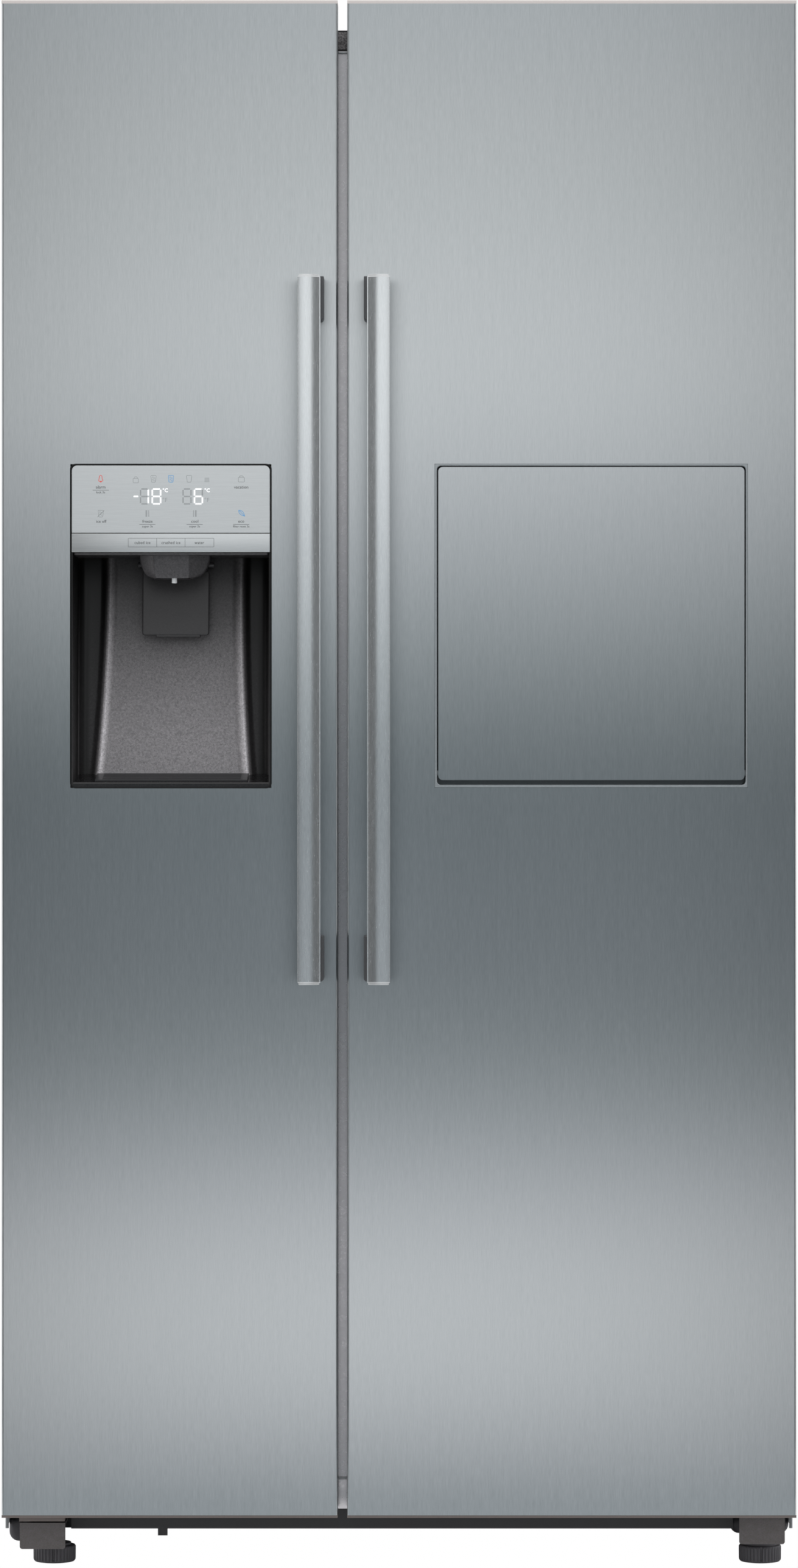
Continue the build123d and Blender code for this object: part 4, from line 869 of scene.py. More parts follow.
# ---------------------------------------------------------------- door liners, seals and bins
# Each door is closed behind by a vacuum-formed white sheet with two tall ribs that carry the bins; the
# freezer's also has a bulge round the dispenser. A magnetic rubber bellows runs round it in a groove.
# Plasticised PVC: mid grey, dull and soft.
seal_rubber = finish(
    "grey_pvc_seal", "#8C8E90", "#97999B", (0.5, 0.62), (0.9, 0.9, 0.9), 0.04, IOR=1.53, Sheen_Weight=0.1
)
LINER_Z = (62 * MM, 1748 * MM)
DYKES_Z = (130 * MM, 1690 * MM)


def holed_sheet(x, z, faces, hole_x, hole_z, corner, hole_corner):
    """A flat sheet between two faces with a rounded hole: rounded rectangles out over one face and back."""
    near, far = faces
    soft = 1 * MM
    outer = rings(x, z, [(soft, near), (0, near + soft), (0, far - soft), (soft, far)], "y", corner)
    inner = rings(
        hole_x, hole_z, [(-soft, far), (0, far - soft), (0, near + soft), (-soft, near)], "y", hole_corner
    )
    return np.concatenate([outer, inner]), "ring"


def door_liner(door, hole_x, hole_z, more):
    """The sheet, and two ribs that taper towards the cabinet and are round on every edge."""
    node = f"{door}_door_liner"
    front = limits(node)[1][0]
    sheet = (front, front + 2.5 * MM)
    cavity = {"freezer": (-399, -92), "fridge": (-37, 409)}[door]
    foam_x = limits(f"{door}_door_foam")[0]
    patches = [holed_sheet(foam_x, LINER_Z, sheet, hole_x, hole_z, 14 * MM, 8 * MM)]
    profile = slab(sheet[1] - 1 * MM, front + 47.5 * MM, 0.0, 4 * MM, 4)
    for edge, inward in ((cavity[0] + 14, 1), (cavity[1] - 14, -1)):
        rib_x = tuple(sorted((edge * MM, (edge + inward * 18) * MM)))
        beside_bulge = door == "freezer" and inward > 0
        spans = [(DYKES_Z[0], 886 * MM), (1403 * MM, DYKES_Z[1])] if beside_bulge else [DYKES_Z]
        patches += [(rings(rib_x, span, profile, "y", 6 * MM), "tube") for span in spans]
    return build(f"{door}_inner_door", patches + more, white_hips, f"{door}_door", [node])


disp_x, disp_z = (-374.5 * MM, -145.5 * MM), (889 * MM, 1258 * MM)
bulge_x, bulge_z = grown(disp_x, 1.5 * MM), (887 * MM, 1402 * MM)
chute_x, chute_z = (-298 * MM, -216 * MM), (1345 * MM, 1395 * MM)
bulge_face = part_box("freezer_door_liner")[1].y
bulge = rings(bulge_x, bulge_z, slab(bulge_face - 66 * MM, bulge_face, 0.0, 5 * MM, 5), "y", 5 * MM)
mouth_profile = [(-2 * MM, bulge_face), (0, bulge_face - 1.5 * MM), (0, bulge_face - 2 * MM)]
mouth = rings(chute_x, chute_z, mouth_profile, "y", 9 * MM)
hollow = slab(bulge_face - 66 * MM, bulge_face - 2 * MM, 0.0, 3 * MM, 5)[::-1]
lining = rings(grown(bulge_x, -2 * MM), grown(bulge_z, -2 * MM), hollow, "y", 3 * MM)
door_liner("freezer", disp_x, disp_z, [(np.concatenate([bulge, mouth, lining]), "ring")])
bar_hole_x, bar_hole_z = (66 * MM, 372 * MM), (922 * MM, 1232 * MM)
door_liner("fridge", bar_hole_x, bar_hole_z, [])

BELLOWS = [(0, 0), (0, 2.2), (1.6, 4.2), (0.4, 6.4), (0.4, 9.6), (1.2, 10.6)]
BELLOWS += [(11, 10.6), (12, 9.6), (11.2, 7), (17, 4.5), (18, 2.2), (18, 0)]
BELLOWS_WIDTH, BELLOWS_DEPTH = 18, 10.7


def gasket(node, body):
    """The bellows section, folded between the door and the magnet strip, carried round a rounded rectangle.
    It is scaled to the depth and width that the seal has."""
    x, y, z = limits(node)
    wide = (12 if node == "flap_gasket" else BELLOWS_WIDTH) * MM
    section = rounded(BELLOWS, 0.5, 2) * (wide / BELLOWS_WIDTH, (y[1] - y[0]) / BELLOWS_DEPTH)
    profile = [(inset, y[0] + out) for inset, out in section]
    loop = rings(x, z, profile, "y", 8 * MM, 3)
    return build(f"{node}_bellows", [(loop, "ring")], seal_rubber, body, [node])


gasket("freezer_door_gasket", "freezer_door")
gasket("fridge_door_gasket", "fridge_door")


BIN_DATUM_Y = -267.5 * MM


def door_bins(node, body, sizes):
    """Clear bins with soft corners and a rail along the front: low at the back, rounded over the rim."""
    x, (back, _), _ = limits(node)
    patches = []
    for low, depth, tall in sizes:
        y = (back, BIN_DATUM_Y + depth * MM)
        z = (low * MM, (low + tall) * MM)
        middle = z[0] + 0.42 * (z[1] - z[0])
        grid = rings(x, y, tub(z[0], z[1], 3 * MM, 9 * MM), "z", (20 * MM, 20 * MM, 3 * MM, 3 * MM))
        away = np.clip((grid[..., 1] - y[0]) / (26 * MM), 0, 1)
        ease = away * away * (3 - 2 * away)
        grid[..., 2] = np.minimum(grid[..., 2], middle + ease * (z[1] - middle) + 1e-6)
        patches.append((grid, "tube"))
        rail_z, rail_edge = (z[1] - 9 * MM, z[1] - 1 * MM), slab(y[1] - 2 * MM, y[1], 1 * MM, 2 * MM)
        patches.append((rings(grown(x, -4 * MM), rail_z, rail_edge, "y", 3 * MM), "tube"))
    return build(f"{node}_moulded", patches, clear_plastic, body, [node], sharp=45)


FREEZER_BINS = ((150, 80, 105), (400, 80, 105), (640, 105, 105), (1580, 105, 100))
door_bins("freezer_door_bins", "freezer_door", FREEZER_BINS)
FRIDGE_BINS = ((150, 80, 105), (400, 80, 105), (640, 105, 105), (926, 112, 90), (1400, 105, 110))
door_bins("fridge_door_bins", "fridge_door", FRIDGE_BINS)

# ---------------------------------------------------------------- handles
# Each handle is an extruded aluminium bar, brushed and anodised, with a die-cast cap at both ends and two
# dark feet. Its ridge is off centre: a steep shoulder outwards, a long slope towards the other handle.

# Lines along the bar under a satin gloss. Like the doors' lines they are drawn coarser than real ones.
handle_aluminium = finish(
    "brushed_anodised_aluminium",
    "#CDD1D3",
    "#DDE1E3",
    (0.22, 0.28),
    (0.8, 0.8, 9),
    0.008,
    along="Z",
    Metallic=0.9,
    Anisotropic=0.5,
)
# Cast and polished: plainer than the bar.
cap_metal = finish(
    "bright_die_cast_zinc", "#C4C6C7", "#D2D4D5", (0.3, 0.4), (1.2, 1.2, 1.2), 0.01, Metallic=0.6
)
# ABS feet: dark grey, with a fine texture.
foot_plastic = finish(
    "dark_handle_foot_abs", "#3A3B3D", "#46474A", (0.4, 0.5), (0.6, 0.6, 0.6), 0.05, IOR=1.53
)
HANDLE_SECTION = [(0, 17), (0, 1.7), (13.8, 0), (24.7, 5.0), (25.0, 5.5), (26, 5.5), (26, 17)]
HANDLE_CORNERS = [0.5, 0.5, 27, 0.2, 0.2, 0.3, 0.5]


def handle(side, inward):
    """The bar between two stepped caps, and its feet. The section shrinks a little at each step."""
    (left, right), (near, _), (low, high) = limits(f"{side}_handle")
    section = rounded(HANDLE_SECTION, HANDLE_CORNERS, 4) * MM
    if inward < 0:
        section[:, 0] = right - left - section[:, 0]
    section = section + (left, near)
    profile = [(1.0, low + 3.4 * MM), (1.0, high - 3.4 * MM)]
    build(
        f"{side}_bar",
        [(drawn(section, profile, "z"), "tube")],
        handle_aluminium,
        f"{side}_door",
        [f"{side}_handle"],
    )
    step = [(0.86, 0), (0.9, 0.4), (0.9, 1.9), (0.96, 2.1), (0.985, 2.5), (0.985, 3.6)]
    caps = []
    for end, turn in ((low, 1), (high, -1)):
        caps.append((drawn(section, [(size, end + turn * up * MM) for size, up in step], "z"), "tube"))
    build(f"{side}_bar_caps", caps, cap_metal, f"{side}_door")
    x, y, (low, high) = limits(f"{side}_handle_mounts")
    patches = []
    for z in ((low, low + 52 * MM), (high - 50 * MM, high)):
        patches.append(
            (rings(x, z, slab(*y, 1 * MM, 1 * MM), "y", (1 * MM, 1 * MM, 4 * MM, 4 * MM), 3), "tube")
        )
    build(
        f"{side}_handle_feet",
        patches,
        foot_plastic,
        f"{side}_door",
        [f"{side}_handle_mounts"],
    )


handle("freezer", 1)
handle("fridge", -1)

# ---------------------------------------------------------------- dispenser panel
# A glass-smooth panel in brushed-metal film: an upper plate with a backlit display and touch fields, and
# a narrow strip with the three dispensing keys. A dark bezel runs round the whole dispenser.

# Film brushed from side to side: pale silver, with lines drawn 0.5 mm apart so that they show.
panel_film = finish(
    "brushed_film_panel",
    "#CFD2D3",
    "#DADDDE",
    (0.3, 0.36),
    (18, 0.8, 0.5),
    0.004,
    along="X",
    Metallic=0.9,
    Anisotropic=0.4,
)
# Bezel ABS: deep black, satin.
bezel_black = finish("satin_black_bezel_abs", "#08090A", "#0E0F10", (0.4, 0.5), (2, 2, 2), 0.02, IOR=1.4)
# Screen print: black for what always shows, grey for digits and symbols that aren't lit.
print_black = finish("printed_black_ink", "#101113", "#17181A", (0.5, 0.6), (0.2, 0.2, 0.2), 0.01)
print_grey = finish("unlit_display_grey", "#7D8183", "#85898B", (0.45, 0.5), (0.2, 0.2, 0.2), 0.01)
# Lit symbols glow in their colour over its dim, unlit tone.
LIT_COLOURS = (("white", "#FFFFFF", "#D8DADC"), ("blue", "#2F9AD8", "#0E2C40"), ("red", "#E4402A", "#40100A"))
lit = {}
for colour, tone, unlit_tone in LIT_COLOURS:
    lit[colour] = finish(f"lit_{colour}_display", unlit_tone, unlit_tone, (0.5, 0.5), (0.5, 0.5, 0.5), 0.0)
    glow = lit[colour].node_tree.nodes["Principled BSDF"].inputs
    glow["Emission Color"].default_value = linear(tone)
    glow["Emission Strength"].default_value = 0.8

face = DOOR_FACE - 0.6 * MM
top_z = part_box("dispenser_panel")[1].z - 0.7 * MM
panel_x = grown(limits("dispenser_panel")[0], -0.7 * MM)
split, strip_low = 1179.2 * MM, 1157.7 * MM
seam, plate_edge = 0.35 * MM, slab(face, face + 5 * MM, 0.5 * MM, 0.1 * MM)
plate_corners = (6 * MM, 6 * MM, 0.4 * MM, 0.4 * MM)
upper = rings(panel_x, (split + seam, top_z), plate_edge, "y", plate_corners)
strip = rings(panel_x, (strip_low, split - seam), plate_edge, "y", 0.4 * MM)
build("display_plate", [(upper, "tube")], panel_film, "freezer_door", ["dispenser_panel"])
build("key_strip", [(strip, "tube")], panel_film, "freezer_door")
edge_turn = np.linspace(0, math.pi, 7)
bezel_profile = [(0.9 * MM - 0.9 * MM * math.cos(t), DOOR_FACE - 0.35 * MM * math.sin(t)) for t in edge_turn]
bezel_profile += [(1.8 * MM, DOOR_FACE + 6 * MM), (0, DOOR_FACE + 6 * MM)]
bezel = rings(grown(disp_x, 0.5 * MM), grown(disp_z, 0.5 * MM), bezel_profile, "y", 6.5 * MM, 8)
build("dispenser_bezel", [(bezel, "ring")], bezel_black, "freezer_door")


def stroke(points, width, closed=False, proud=0.06):
    """A printed line on the panel, in millimetres of x and z: a thin rectangle carried along the points,
    offset both ways along the line's normal."""
    points = np.asarray(points, float)
    apart = np.linalg.norm(np.diff(points, axis=0), axis=1) > 1e-6
    points = points[np.concatenate([[True], apart])]
    if closed:
        ahead = np.roll(points, -1, axis=0) - np.roll(points, 1, axis=0)
    else:
        ahead = np.gradient(points, axis=0)
    ahead /= np.linalg.norm(ahead, axis=1, keepdims=True)
    normal = np.column_stack([-ahead[:, 1], ahead[:, 0]]) * width / 2
    sides = np.stack([points - normal, points + normal, points + normal, points - normal], axis=1) * MM
    depth = np.broadcast_to(face + np.array([-proud, -proud, 0.3, 0.3]) * MM, sides.shape[:2])
    return np.stack([sides[..., 0], depth, sides[..., 1]], axis=-1), "ring" if closed else "tube"


def arc(x, z, radius, start, end, steps=12):
    """Points on a circle between two angles in degrees."""
    turn = np.radians(np.linspace(start, end, steps))
    return np.column_stack([x + radius * np.cos(turn), z + radius * np.sin(turn)])


def segment_digit(x, z, wide, tall, on, shown):
    """The bars of a seven-segment digit that are lit, or those that aren't: a short stroke each."""
    half, mid = wide / 2, tall / 2
    bars = {
        "a": [(-half + 1, mid), (half - 1, mid)],
        "b": [(half, mid - 1), (half, 1)],
        "c": [(half, -1), (half, -mid + 1)],
        "d": [(-half + 1, -mid), (half - 1, -mid)],
        "e": [(-half, -1), (-half, -mid + 1)],
        "f": [(-half, mid - 1), (-half, 1)],
        "g": [(-half + 1, 0), (half - 1, 0)],
    }
    return [stroke(np.array(bars[key]) + (x, z), 1.5) for key in "abcdefg" if (key in on) == shown]


def tumbler(x, z):
    """A glass: a tapered cup outline."""
    cup = np.array([(-3.1, 3.8), (-2.2, -3.8), (2.2, -3.8), (3.1, 3.8)]) + (x, z)
    return [stroke(rounded(cup, 0.8, 3), 0.5, True)]


def cubes(x, z):
    """Small squares inside a glass."""
    spots = ((-0.9, 1.8), (1.0, 0.9), (-0.6, -0.6), (0.9, -1.9))
    box = np.array([(-0.6, -0.5), (0.6, -0.6), (0.5, 0.6), (-0.5, 0.5)])
    return [stroke(box + (x + a, z + b), 0.35, True) for a, b in spots]


DIGIT_Z, TOP_ICONS_Z, LOW_ICONS_Z = 1221.2, 1241.2, 1201.6
FIELD_LINES = ((-339.8, 1228.4), (-286.7, 1189.4), (-232.8, 1189.4), (-179.8, 1189.4))
printed = [stroke([(x - 9.2, z), (x + 9.2, z)], 0.35) for x, z in FIELD_LINES]
key_box = rounded([(-308.6, 1163.6), (-308.6, 1173.6), (-211, 1173.6), (-211, 1163.6)], 0.8, 3)
printed.append(stroke(key_box, 0.3, True))
printed += [stroke([(x, 1163.6), (x, 1173.6)], 0.3) for x in (-276, -243.8)]
unlit = segment_digit(-290.1, DIGIT_Z, 9.0, 17.0, "bc", False)
unlit += segment_digit(-241.6, DIGIT_Z, 9.0, 17.0, "", False)
unlit += segment_digit(-228.6, DIGIT_Z, 9.0, 17.0, "acdefg", False)
lock = rounded([(-303, 1236.8), (-303, 1241.6), (-297, 1241.6), (-297, 1236.8)], 0.6, 3)
unlit += [stroke(lock, 0.5, True), stroke(arc(-300, 1241.6, 2, 180, 0), 0.5)]
unlit += tumbler(-279.8, TOP_ICONS_Z) + cubes(-279.8, TOP_ICONS_Z) + tumbler(-239.2, TOP_ICONS_Z)
beads = [(-218.9 + a * 1.8, 1240 + b * 1.8) for a in (-1, 0, 1) for b in (-1, 0, 1)]
unlit += [stroke(arc(x, z, 0.65, 0, 330, 8), 0.35, True) for x, z in beads]
case = rounded([(-183.2, 1237.6), (-183.2, 1243), (-176.2, 1243), (-176.2, 1237.6)], 0.8, 3)
grip = rounded([(-181.6, 1243), (-181.6, 1244.6), (-177.8, 1244.6), (-177.8, 1243)], [0, 0.6, 0.6, 0], 3)
unlit += [stroke(case, 0.5, True), stroke(grip, 0.5)]
unlit += tumbler(-339.9, LOW_ICONS_Z) + cubes(-339.9, LOW_ICONS_Z)
unlit.append(stroke([(-343.6, 1197.8), (-335.8, 1205.4)], 0.5))
for x, side in ((-286.7, -1), (-232.8, 1)):
    unlit.append(stroke([(x + side * 1.2, 1198), (x + side * 1.2, 1205.4)], 1.8))
    unlit.append(stroke([(x - side * 1.5, 1198), (x - side * 1.5, 1205.4)], 0.9))
white = [stroke([(-302.3, DIGIT_Z), (-297.2, DIGIT_Z)], 1.5)]
white += segment_digit(-290.1, DIGIT_Z, 9.0, 17.0, "bc", True)
white += segment_digit(-276.4, DIGIT_Z, 9.6, 17.0, "abcdefg", True)
white += segment_digit(-228.6, DIGIT_Z, 9.0, 17.0, "acdefg", True)
bell_path = [(-343.4, 1238.6), (-341.8, 1240.6), (-341.2, 1244.6), (-339.9, 1245.4)]
bell_path += [(-338.6, 1244.6), (-338, 1240.6), (-336.4, 1238.6)]
bell_path = rounded(bell_path, 0.9, 3)
bell = [stroke(bell_path, 0.6, True), stroke(arc(-339.9, 1238.2, 0.7, 180, 360, 8), 0.8)]
leaf_path = np.concatenate([arc(-182.6, 1199.2, 6.4, 2, 88, 10), arc(-176.4, 1205.6, 6.4, 182, 268, 10)])
blue = tumbler(-259.9, TOP_ICONS_Z) + cubes(-259.9, TOP_ICONS_Z)
blue += [stroke(leaf_path, 0.55, True), stroke([(-182, 1205), (-175.6, 1198.4)], 0.5)]
build("printed_lines", printed, print_black, "freezer_door")
build("unlit_symbols", unlit, print_grey, "freezer_door")
build("lit_white_digits", white, lit["white"], "freezer_door")
build("lit_blue_symbols", blue, lit["blue"], "freezer_door")
build("lit_red_bell", bell, lit["red"], "freezer_door")


def lettering(name, rows, made_of):
    """Words of the plain built-in font, each scaled to its width, made one thin mesh on the panel's face."""
    joined = bmesh.new()
    for words, x, baseline, width in rows:
        curve = bpy.data.curves.new(name, "FONT")
        curve.body, curve.resolution_u, curve.extrude = words, 2, 0.004
        holder = bpy.data.objects.new(name, curve)
        scene.collection.objects.link(holder)
        bpy.context.view_layer.update()
        flat = bpy.data.meshes.new_from_object(holder.evaluated_get(bpy.context.evaluated_depsgraph_get()))
        bpy.data.objects.remove(holder)
        points = np.empty(len(flat.vertices) * 3, np.float32)
        flat.vertices.foreach_get("co", points)
        points = points.reshape(-1, 3)
        scale = width / (points[:, 0].max() - points[:, 0].min())
        middle = (points[:, 0].max() + points[:, 0].min()) / 2
        across, up = x + (points[:, 0] - middle) * scale, baseline + points[:, 1] * scale
        placed = np.column_stack([across, 0 * points[:, 2], up]) * MM
        placed[:, 1] = face - (points[:, 2] > 0) * 0.05 * MM
        flat.vertices.foreach_set("co", placed.astype(np.float32).ravel())
        joined.from_mesh(flat)
        bpy.data.meshes.remove(flat)
    bmesh.ops.remove_doubles(joined, verts=joined.verts, dist=0.0005 * MM)
    bmesh.ops.recalc_face_normals(joined, faces=joined.faces)
    mesh = bpy.data.meshes.new(name)
    joined.to_mesh(mesh)
    joined.free()
    mesh.materials.append(made_of)
    piece = bpy.data.objects.new(name, mesh)
    scene.collection.objects.link(piece)
    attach(piece, "freezer_door")


LABELS = (
    ("alarm", -339.9, 1230.2, 11.0),
    ("lock 3s", -340.0, 1224.7, 9.9),
    ("vacation", -179.9, 1230.2, 16.2),
    ("ice off", -339.1, 1191.2, 11.6),
    ("freeze", -286.6, 1191.3, 11.6),
    ("super 3s", -286.7, 1185.9, 12.1),
    ("cool", -232.8, 1191.3, 8.0),
    ("super 3s", -232.9, 1185.9, 12.1),
    ("eco", -179.8, 1191.3, 6.9),
    ("filter reset 3s", -179.8, 1185.9, 18.5),
    ("cubed ice", -292.3, 1167.0, 18.0),
    ("crushed ice", -259.9, 1167.0, 21.5),
    ("water", -227.5, 1167.0, 11.0),
)
lettering("key_lettering", LABELS, print_black)
UNITS_Z = 1226.2
lettering(
    "lit_units", (("°C", -266.3, UNITS_Z, 5.9), ("°C", -218.6, UNITS_Z, 5.9)), lit["white"]
)
lettering(
    "unlit_units", (("°F", -266.7, 1214.9, 5.2), ("°F", -219.0, 1214.9, 5.2)), print_grey
)

# ---------------------------------------------------------------- dispenser recess
# The recess is moulded in charcoal plastic with a fine mica sparkle. Its leaning middle panel stands
# forward between two channels, with a rolled ridge down each side that flares towards the drip tray.

# Charcoal plastic with mica: flakes under 0.1 mm, drawn 0.55 mm wide so that they show. Its colour carries
# painted
# light by place in the recess: painted shade that darkens it towards the top under the overhang, a painted
# highlight along the ridges, and painted shade in the channels and on the side walls.
charcoal = finish(
    "mica_charcoal_with_painted_light",
    "#3C3B3D",
    "#7A787A",
    (0.34, 0.46),
    (0.55, 0.55, 0.55),
    0.05,
    Metallic=0.35,
    IOR=1.53,
)
tree = charcoal.node_tree
recess_place = add(tree, "TexCoord").outputs["Object"]
recess_axes = add(tree, "SeparateXYZ", links={"Vector": recess_place})
# Painted shade by height: the colour is scaled up about tenfold at the tray and falls to its own tone at the
# top.
painted_shade_by_height = add(
    tree,
    "MapRange",
    {"From Min": 0.9, "From Max": 1.13, "To Min": 9.6, "To Max": 1.0},
    {"Value": recess_axes.outputs["Z"]},
)
# How far a point lies behind the leaning panel: painted shade darkens the channels, and a painted highlight
# runs along the ridges.
PANEL_FOOT_DEPTH, PANEL_LEANS_BY = 66, 20
LEAN = PANEL_LEANS_BY / 253.4
panel_plane = DOOR_FACE + PANEL_FOOT_DEPTH * MM - LEAN * 904.6 * MM
behind = add(tree, "VectorMath", {1: (0, 1, -LEAN)}, {0: recess_place}, operation="DOT_PRODUCT")
band = add(
    tree,
    "MapRange",
    {"From Min": panel_plane - 12 * MM, "From Max": panel_plane + 8 * MM},
    {"Value": behind.outputs["Value"]},
)
# Painted light by depth: a bright band at the ridges' crests, dark tones in the channels behind them.
RIDGE_HIGHLIGHT_CHANNEL_SHADE = ((0.0, "#4C4C4C"), (0.36, "#5C5C5C"), (0.41, "#D0D0D0"), (0.47, "#C2C2C2"))
RIDGE_HIGHLIGHT_CHANNEL_SHADE += ((0.55, "#929292"), (0.6, "#858585"), (0.72, "#4A4A4A"), (0.9, "#323232"))
painted_ridge_light = add(tree, "ValToRGB", links={"Fac": band.outputs["Result"]}, stops=RIDGE_HIGHLIGHT_CHANNEL_SHADE)
# Painted shade: on the side walls, 96 to 100 mm off the recess's middle, the colour falls to 0.3 of its tone.
off_middle = add(tree, "Math", {1: -260 * MM}, {0: recess_axes.outputs["X"]}, operation="SUBTRACT")
aside = add(tree, "Math", links={0: off_middle.outputs["Value"]}, operation="ABSOLUTE")
painted_wall_shade = add(
    tree,
    "MapRange",
    {"From Min": 0.096, "From Max": 0.1, "To Min": 1.0, "To Max": 0.3},
    {"Value": aside.outputs["Value"]},
)
inner = add(tree, "Math", links={0: painted_wall_shade.outputs["Result"], 1: painted_ridge_light.outputs["Color"]}, operation="MULTIPLY")
strength = add(
    tree, "Math", links={0: painted_shade_by_height.outputs["Result"], 1: inner.outputs["Value"]}, operation="MULTIPLY"
)
mica = tree.nodes["Color Ramp"].outputs["Color"]
shaded = add(tree, "VectorMath", links={0: mica, "Scale": strength.outputs["Value"]}, operation="SCALE")
tree.links.new(shaded.outputs["Vector"], tree.nodes["Principled BSDF"].inputs["Base Color"])
# Tray ABS: black and glossy, off a polished tool.
gloss_black = finish("gloss_black_tray_abs", "#121213", "#1B1B1C", (0.2, 0.3), (2, 2, 2), 0.02, IOR=1.53)
house_x, _, house_z = limits("dispenser_housing")
FLOOR_BACK, PANEL_TOP = 904.6 * MM, 1158 * MM


def recess_row(z):
    """The recess in plan at one height: a wall, a channel, the ridge, the panel, and the same back again,
    closed round the outside. The panel's depth grows evenly with height, the ridges' places as parabolas."""
    t = (z - FLOOR_BACK) / (PANEL_TOP - FLOOR_BACK)
    depth = PANEL_FOOT_DEPTH + PANEL_LEANS_BY * t
    left, right = -345.4 + 25.3 * t - 13.1 * t * t, -175 - 19.9 * t + 12.9 * t * t
    back, low, high = depth + 6.5, house_x[0] / MM, house_x[1] / MM
    points = [(low, 0.2), (low + 2.4, 0), (low + 4.4, back)]
    points += [(left - 9, back), (left - 1.5, depth - 4), (left + 9, depth)]
    points += [(right - 9, depth), (right + 1.5, depth - 4), (right + 9, back)]
    points += [(high - 4.4, back), (high - 2.4, 0), (high, 0.2)]
    radii = [0.2, 0.6, 9, 6, 4, 13, 13, 4, 6, 9, 0.6, 0.2, 0.5, 0.5]
    points += [(high, 93.4), (low, 93.4)]
    plan = rounded(points, radii, 6) * MM
    return np.column_stack([plan[:, 0], DOOR_FACE + plan[:, 1], np.full(len(plan), z)])


levels = np.linspace(house_z[0], house_z[1], 34)
recess = np.array([recess_row(z) for z in levels])
build(
    "recess_moulding",
    [(recess, "tube")],
    charcoal,
    "freezer_door",
    ["dispenser_housing"],
    sharp=60,
)
TRAY = [(0.3, -5.6), (0.3, -1.2), (1.4, 0.6), (3, 0.2), (5, -0.8), (8, 0.2)]
TRAY += [(66, 9), (92, 12.8), (92, 9.5), (66, 5.6), (8, -5.6)]
tray = rounded(TRAY, [0.8, 0.8, 0.8, 0.8, 1, 1, 0, 0, 0, 0, 0], 3) * MM + (DOOR_FACE, 895.2 * MM)
tray_ends = [(1, house_x[0] + 2 * MM), (1, house_x[1] - 2 * MM)]
build("drip_tray", [(drawn(tray, tray_ends, "x"), "tube")], gloss_black, "freezer_door")
# Grille ABS: dark and satin.
drip_abs = finish("dark_drip_grille_abs", "#1E1E20", "#28282A", (0.35, 0.45), (0.6, 0.6, 0.6), 0.04, IOR=1.53)
dress(drip_abs, "drip_grille")

# ---------------------------------------------------------------- ice spout, nozzle and paddle
# The ice funnel hangs from the recess's ceiling: a flat face between two curved flanks, hollow inside.
# A grey water nozzle shows below it. The paddle behind swings on a cross shaft when a glass pushes it.
# The recess's mica plastic with fewer flakes.
spout_charcoal = finish(
    "sparkle_spout_plastic", "#333234", "#5C5B5D", (0.3, 0.42), (0.5, 0.5, 0.5), 0.04, Metallic=0.45
)
spout_top, spout_low = 1157.0 * MM, 1129.2 * MM


def spout_row(share, shrink, z):
    """The funnel in plan: a flat front between two flanks. Its half width grows from bottom to top as a
    quarter ellipse, so that the flanks leave the mouth quickly and end upright."""
    swell = math.sqrt(max(0.0, 1 - (1 - share) ** 2))
    left, right = -282 - 15 * swell, -236 + 20 * swell
    flat = (-279.6 - 1.2 * share, -240.4)
    near, far = 17 - 3 * share, 55 + 3 * share
    side = near + 5 + 7 * swell
    points = [(left, side), (flat[0], near), (flat[1], near), (right, side), (right, far), (left, far)]
    plan = rounded(points, [4, 4, 2.2, 4, 7, 7], 5)
    middle = np.array([-259, 36])
    plan = (middle + (plan - middle) * shrink) * MM
    return np.column_stack([plan[:, 0], DOOR_FACE + plan[:, 1], np.full(len(plan), z)])


shares = np.linspace(1, 0, 12)
funnel = [spout_row(s, 1, spout_low + s * (spout_top - spout_low)) for s in shares]
funnel += [spout_row(0, 0.985, spout_low - 0.4 * MM), spout_row(0, 0.9, spout_low - 0.4 * MM)]
funnel += [spout_row(s, 0.86, spout_low + s * (spout_top - 2 * MM - spout_low)) for s in shares[::-1]]
ceiling_y = (DOOR_FACE + 3 * MM, DOOR_FACE + 84 * MM)
ceiling = rings((-371 * MM, -149 * MM), ceiling_y, slab(1154.7 * MM, 1157.1 * MM, 0.5 * MM, 0), "z", 2 * MM)
build(
    "ice_funnel",
    [(np.array(funnel), "tube"), (ceiling, "tube")],
    spout_charcoal,
    "freezer_door",
    ["dispenser_spout"],
    sharp=50,
)
dress(grey_abs, "water_nozzle")
# Paddle ABS: near-black, with a fine texture.
paddle_plastic = finish(
    "dark_paddle_plastic", "#1D1D1E", "#333234", (0.32, 0.44), (0.5, 0.5, 0.5), 0.04, IOR=1.53
)
paddle_x = limits("dispenser_paddle")[0]
PIVOT_Z, PADDLE_DEPTH, PADDLE_LEAN = 1146 * MM, 68.2 * MM, 0.158
blade_z = (1064.6 * MM, 1139 * MM)
blade = rings((-295.5 * MM, -218.5 * MM), blade_z, slab(0, 4 * MM, 1.4 * MM, 0.8 * MM, 4), "y", 3 * MM, 5)
lip = rings(
    (-280 * MM, -228 * MM),
    (1062.2 * MM, 1066 * MM),
    slab(0.8 * MM, 5 * MM, 1.2 * MM, 1 * MM),
    "y",
    1.5 * MM,
)
arm_z, arm_edge = (1130 * MM, 1149 * MM), slab(2.5 * MM, 7 * MM, 1 * MM, 1 * MM)
arms = [rings(grown((x * MM, x * MM), 4 * MM), arm_z, arm_edge, "y", 2 * MM) for x in (-284, -230)]
patches = []
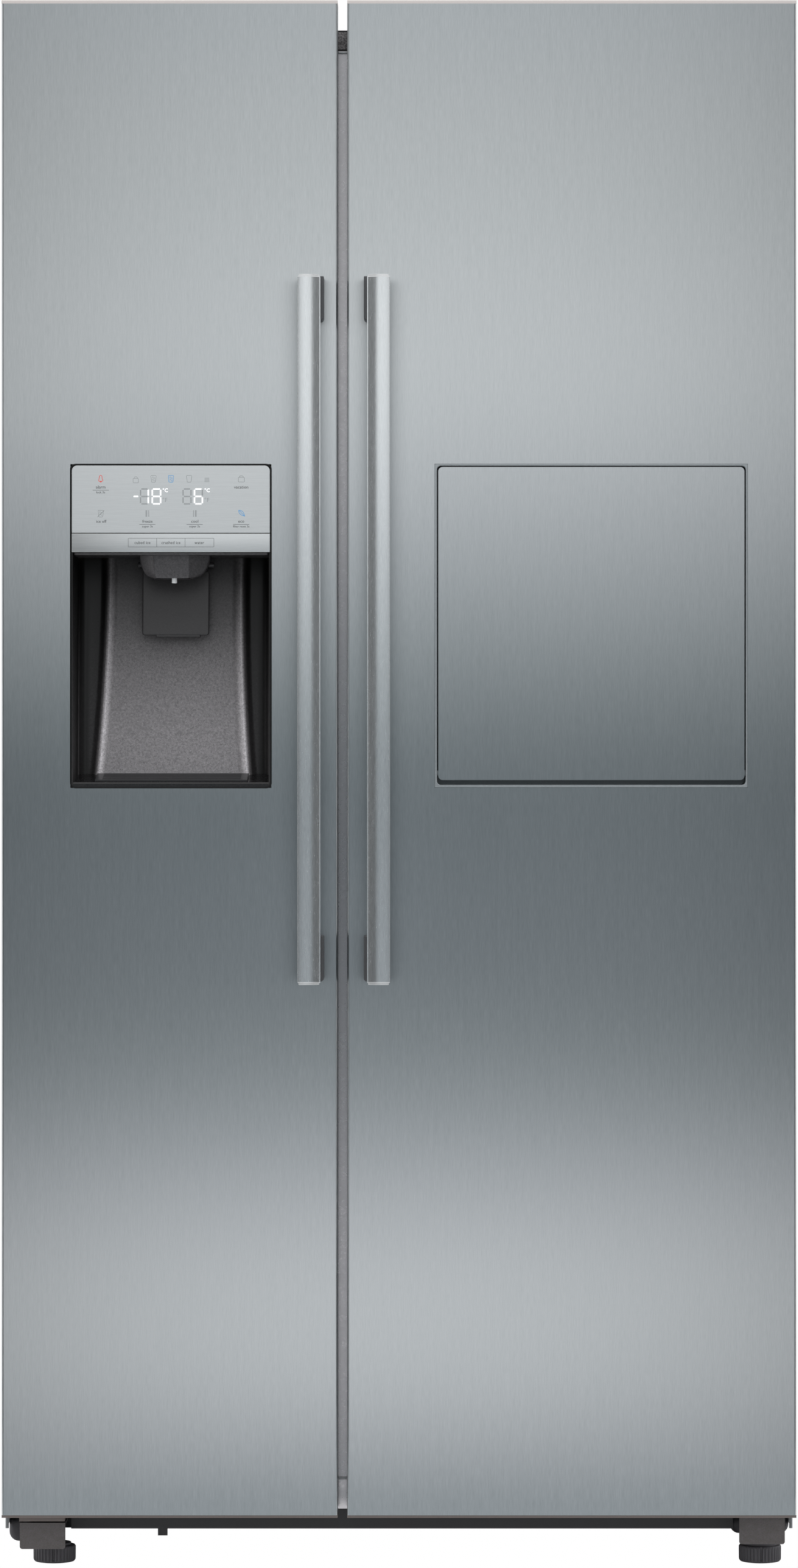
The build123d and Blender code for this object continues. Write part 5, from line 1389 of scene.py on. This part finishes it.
for grid in (blade, lip, *arms):
    grid[..., 1] += DOOR_FACE + PADDLE_DEPTH - PADDLE_LEAN * (PIVOT_Z - grid[..., 2])
    patches.append((grid, "tube"))
round_shaft = grown((DOOR_FACE + 70.5 * MM,) * 2, 3 * MM), grown((PIVOT_Z, PIVOT_Z), 3 * MM)
patches.append((rings(*round_shaft, slab(*paddle_x, 0.5 * MM, 0.5 * MM), "x", 3 * MM), "tube"))
build("ice_paddle_blade", patches, paddle_plastic, "ice_paddle", ["dispenser_paddle"])

# ---------------------------------------------------------------- home bar
# A small hatch in the fridge door. A grey moulded frame lines the hole; the flap is a foam-filled white
# tray with a stainless skin and a rubber seal, and drops forward on two pins to make a shelf.
# ABS painted with metal flake: a mid grey that goes with the doors.
frame_abs = finish(
    "grey_metallic_frame_abs",
    "#8B9194",
    "#9AA0A3",
    (0.3, 0.4),
    (0.8, 0.8, 0.8),
    0.03,
    Metallic=0.6,
    IOR=1.53,
)
bar_x, bar_y, bar_z = limits("home_bar_frame")
flap_x = limits("flap_skin")[0]
pocket_x, pocket_z = grown(flap_x, 1.5 * MM), (bar_z[0] + 3 * MM, bar_z[1] - 2.5 * MM)
pocket_back = DOOR_FACE + 41 * MM
outside_edge = [
    (0, bar_y[1]), (0, DOOR_FACE + 0.6 * MM), (0.3 * MM, DOOR_FACE + 0.1 * MM), (0.9 * MM, DOOR_FACE)
]
pocket_edge = [(-0.8 * MM, DOOR_FACE), (0, DOOR_FACE + 0.8 * MM), (0, pocket_back)]
through_edge = [(-2 * MM, pocket_back), (0, pocket_back + 2 * MM), (0, bar_y[1])]
outside = rings(bar_x, bar_z, outside_edge, "y", 0.5 * MM)
inside = rings(pocket_x, pocket_z, pocket_edge, "y", 4.5 * MM)
through = rings(bar_hole_x, bar_hole_z, through_edge, "y", 8 * MM)
PIN_Y, PIN_Z, PIN_RADIUS, PIN_LENGTH = DOOR_FACE + 10 * MM, 906 * MM, 4 * MM, 11 * MM
pins = []
for x in (pocket_x[0], pocket_x[1] - PIN_LENGTH):
    around = grown((PIN_Y, PIN_Y), PIN_RADIUS), grown((PIN_Z, PIN_Z), PIN_RADIUS)
    pins.append((rings(*around, slab(x, x + PIN_LENGTH, 0, 0), "x", PIN_RADIUS), "tube"))
build(
    "home_bar_surround",
    [(np.concatenate([outside, inside, through]), "ring"), *pins],
    frame_abs,
    "fridge_door",
    ["home_bar_frame"],
)

tray_x, tray_y, tray_z = limits("flap_liner")
TRAY_WALL, TRAY_DEPTH = 22 * MM, 9 * MM
rim = tray_y[1]
body = [
    (5 * MM, tray_y[0]),
    (0, tray_y[0] + 1 * MM),
    (0, rim - 2 * MM),
    (0.6 * MM, rim - 0.6 * MM),
    (2 * MM, rim),
]
body += [(TRAY_WALL, rim), (TRAY_WALL + 1.5 * MM, rim - 1.5 * MM), (TRAY_WALL + 4 * MM, rim - TRAY_DEPTH)]
body += [(TRAY_WALL + 8 * MM, rim - TRAY_DEPTH - 2 * MM)]
white_tray = rings(tray_x, tray_z, body, "y", 6 * MM)
build("flap_tray", [(white_tray, "tube")], white_hips, "home_bar_flap", ["flap_liner"])
gasket("flap_gasket", "home_bar_flap")


# ---------------------------------------------------------------- finish
def corners(both):
    """Both corners of a box as plain lists of numbers."""
    return [[float(value) for value in corner] for corner in both]
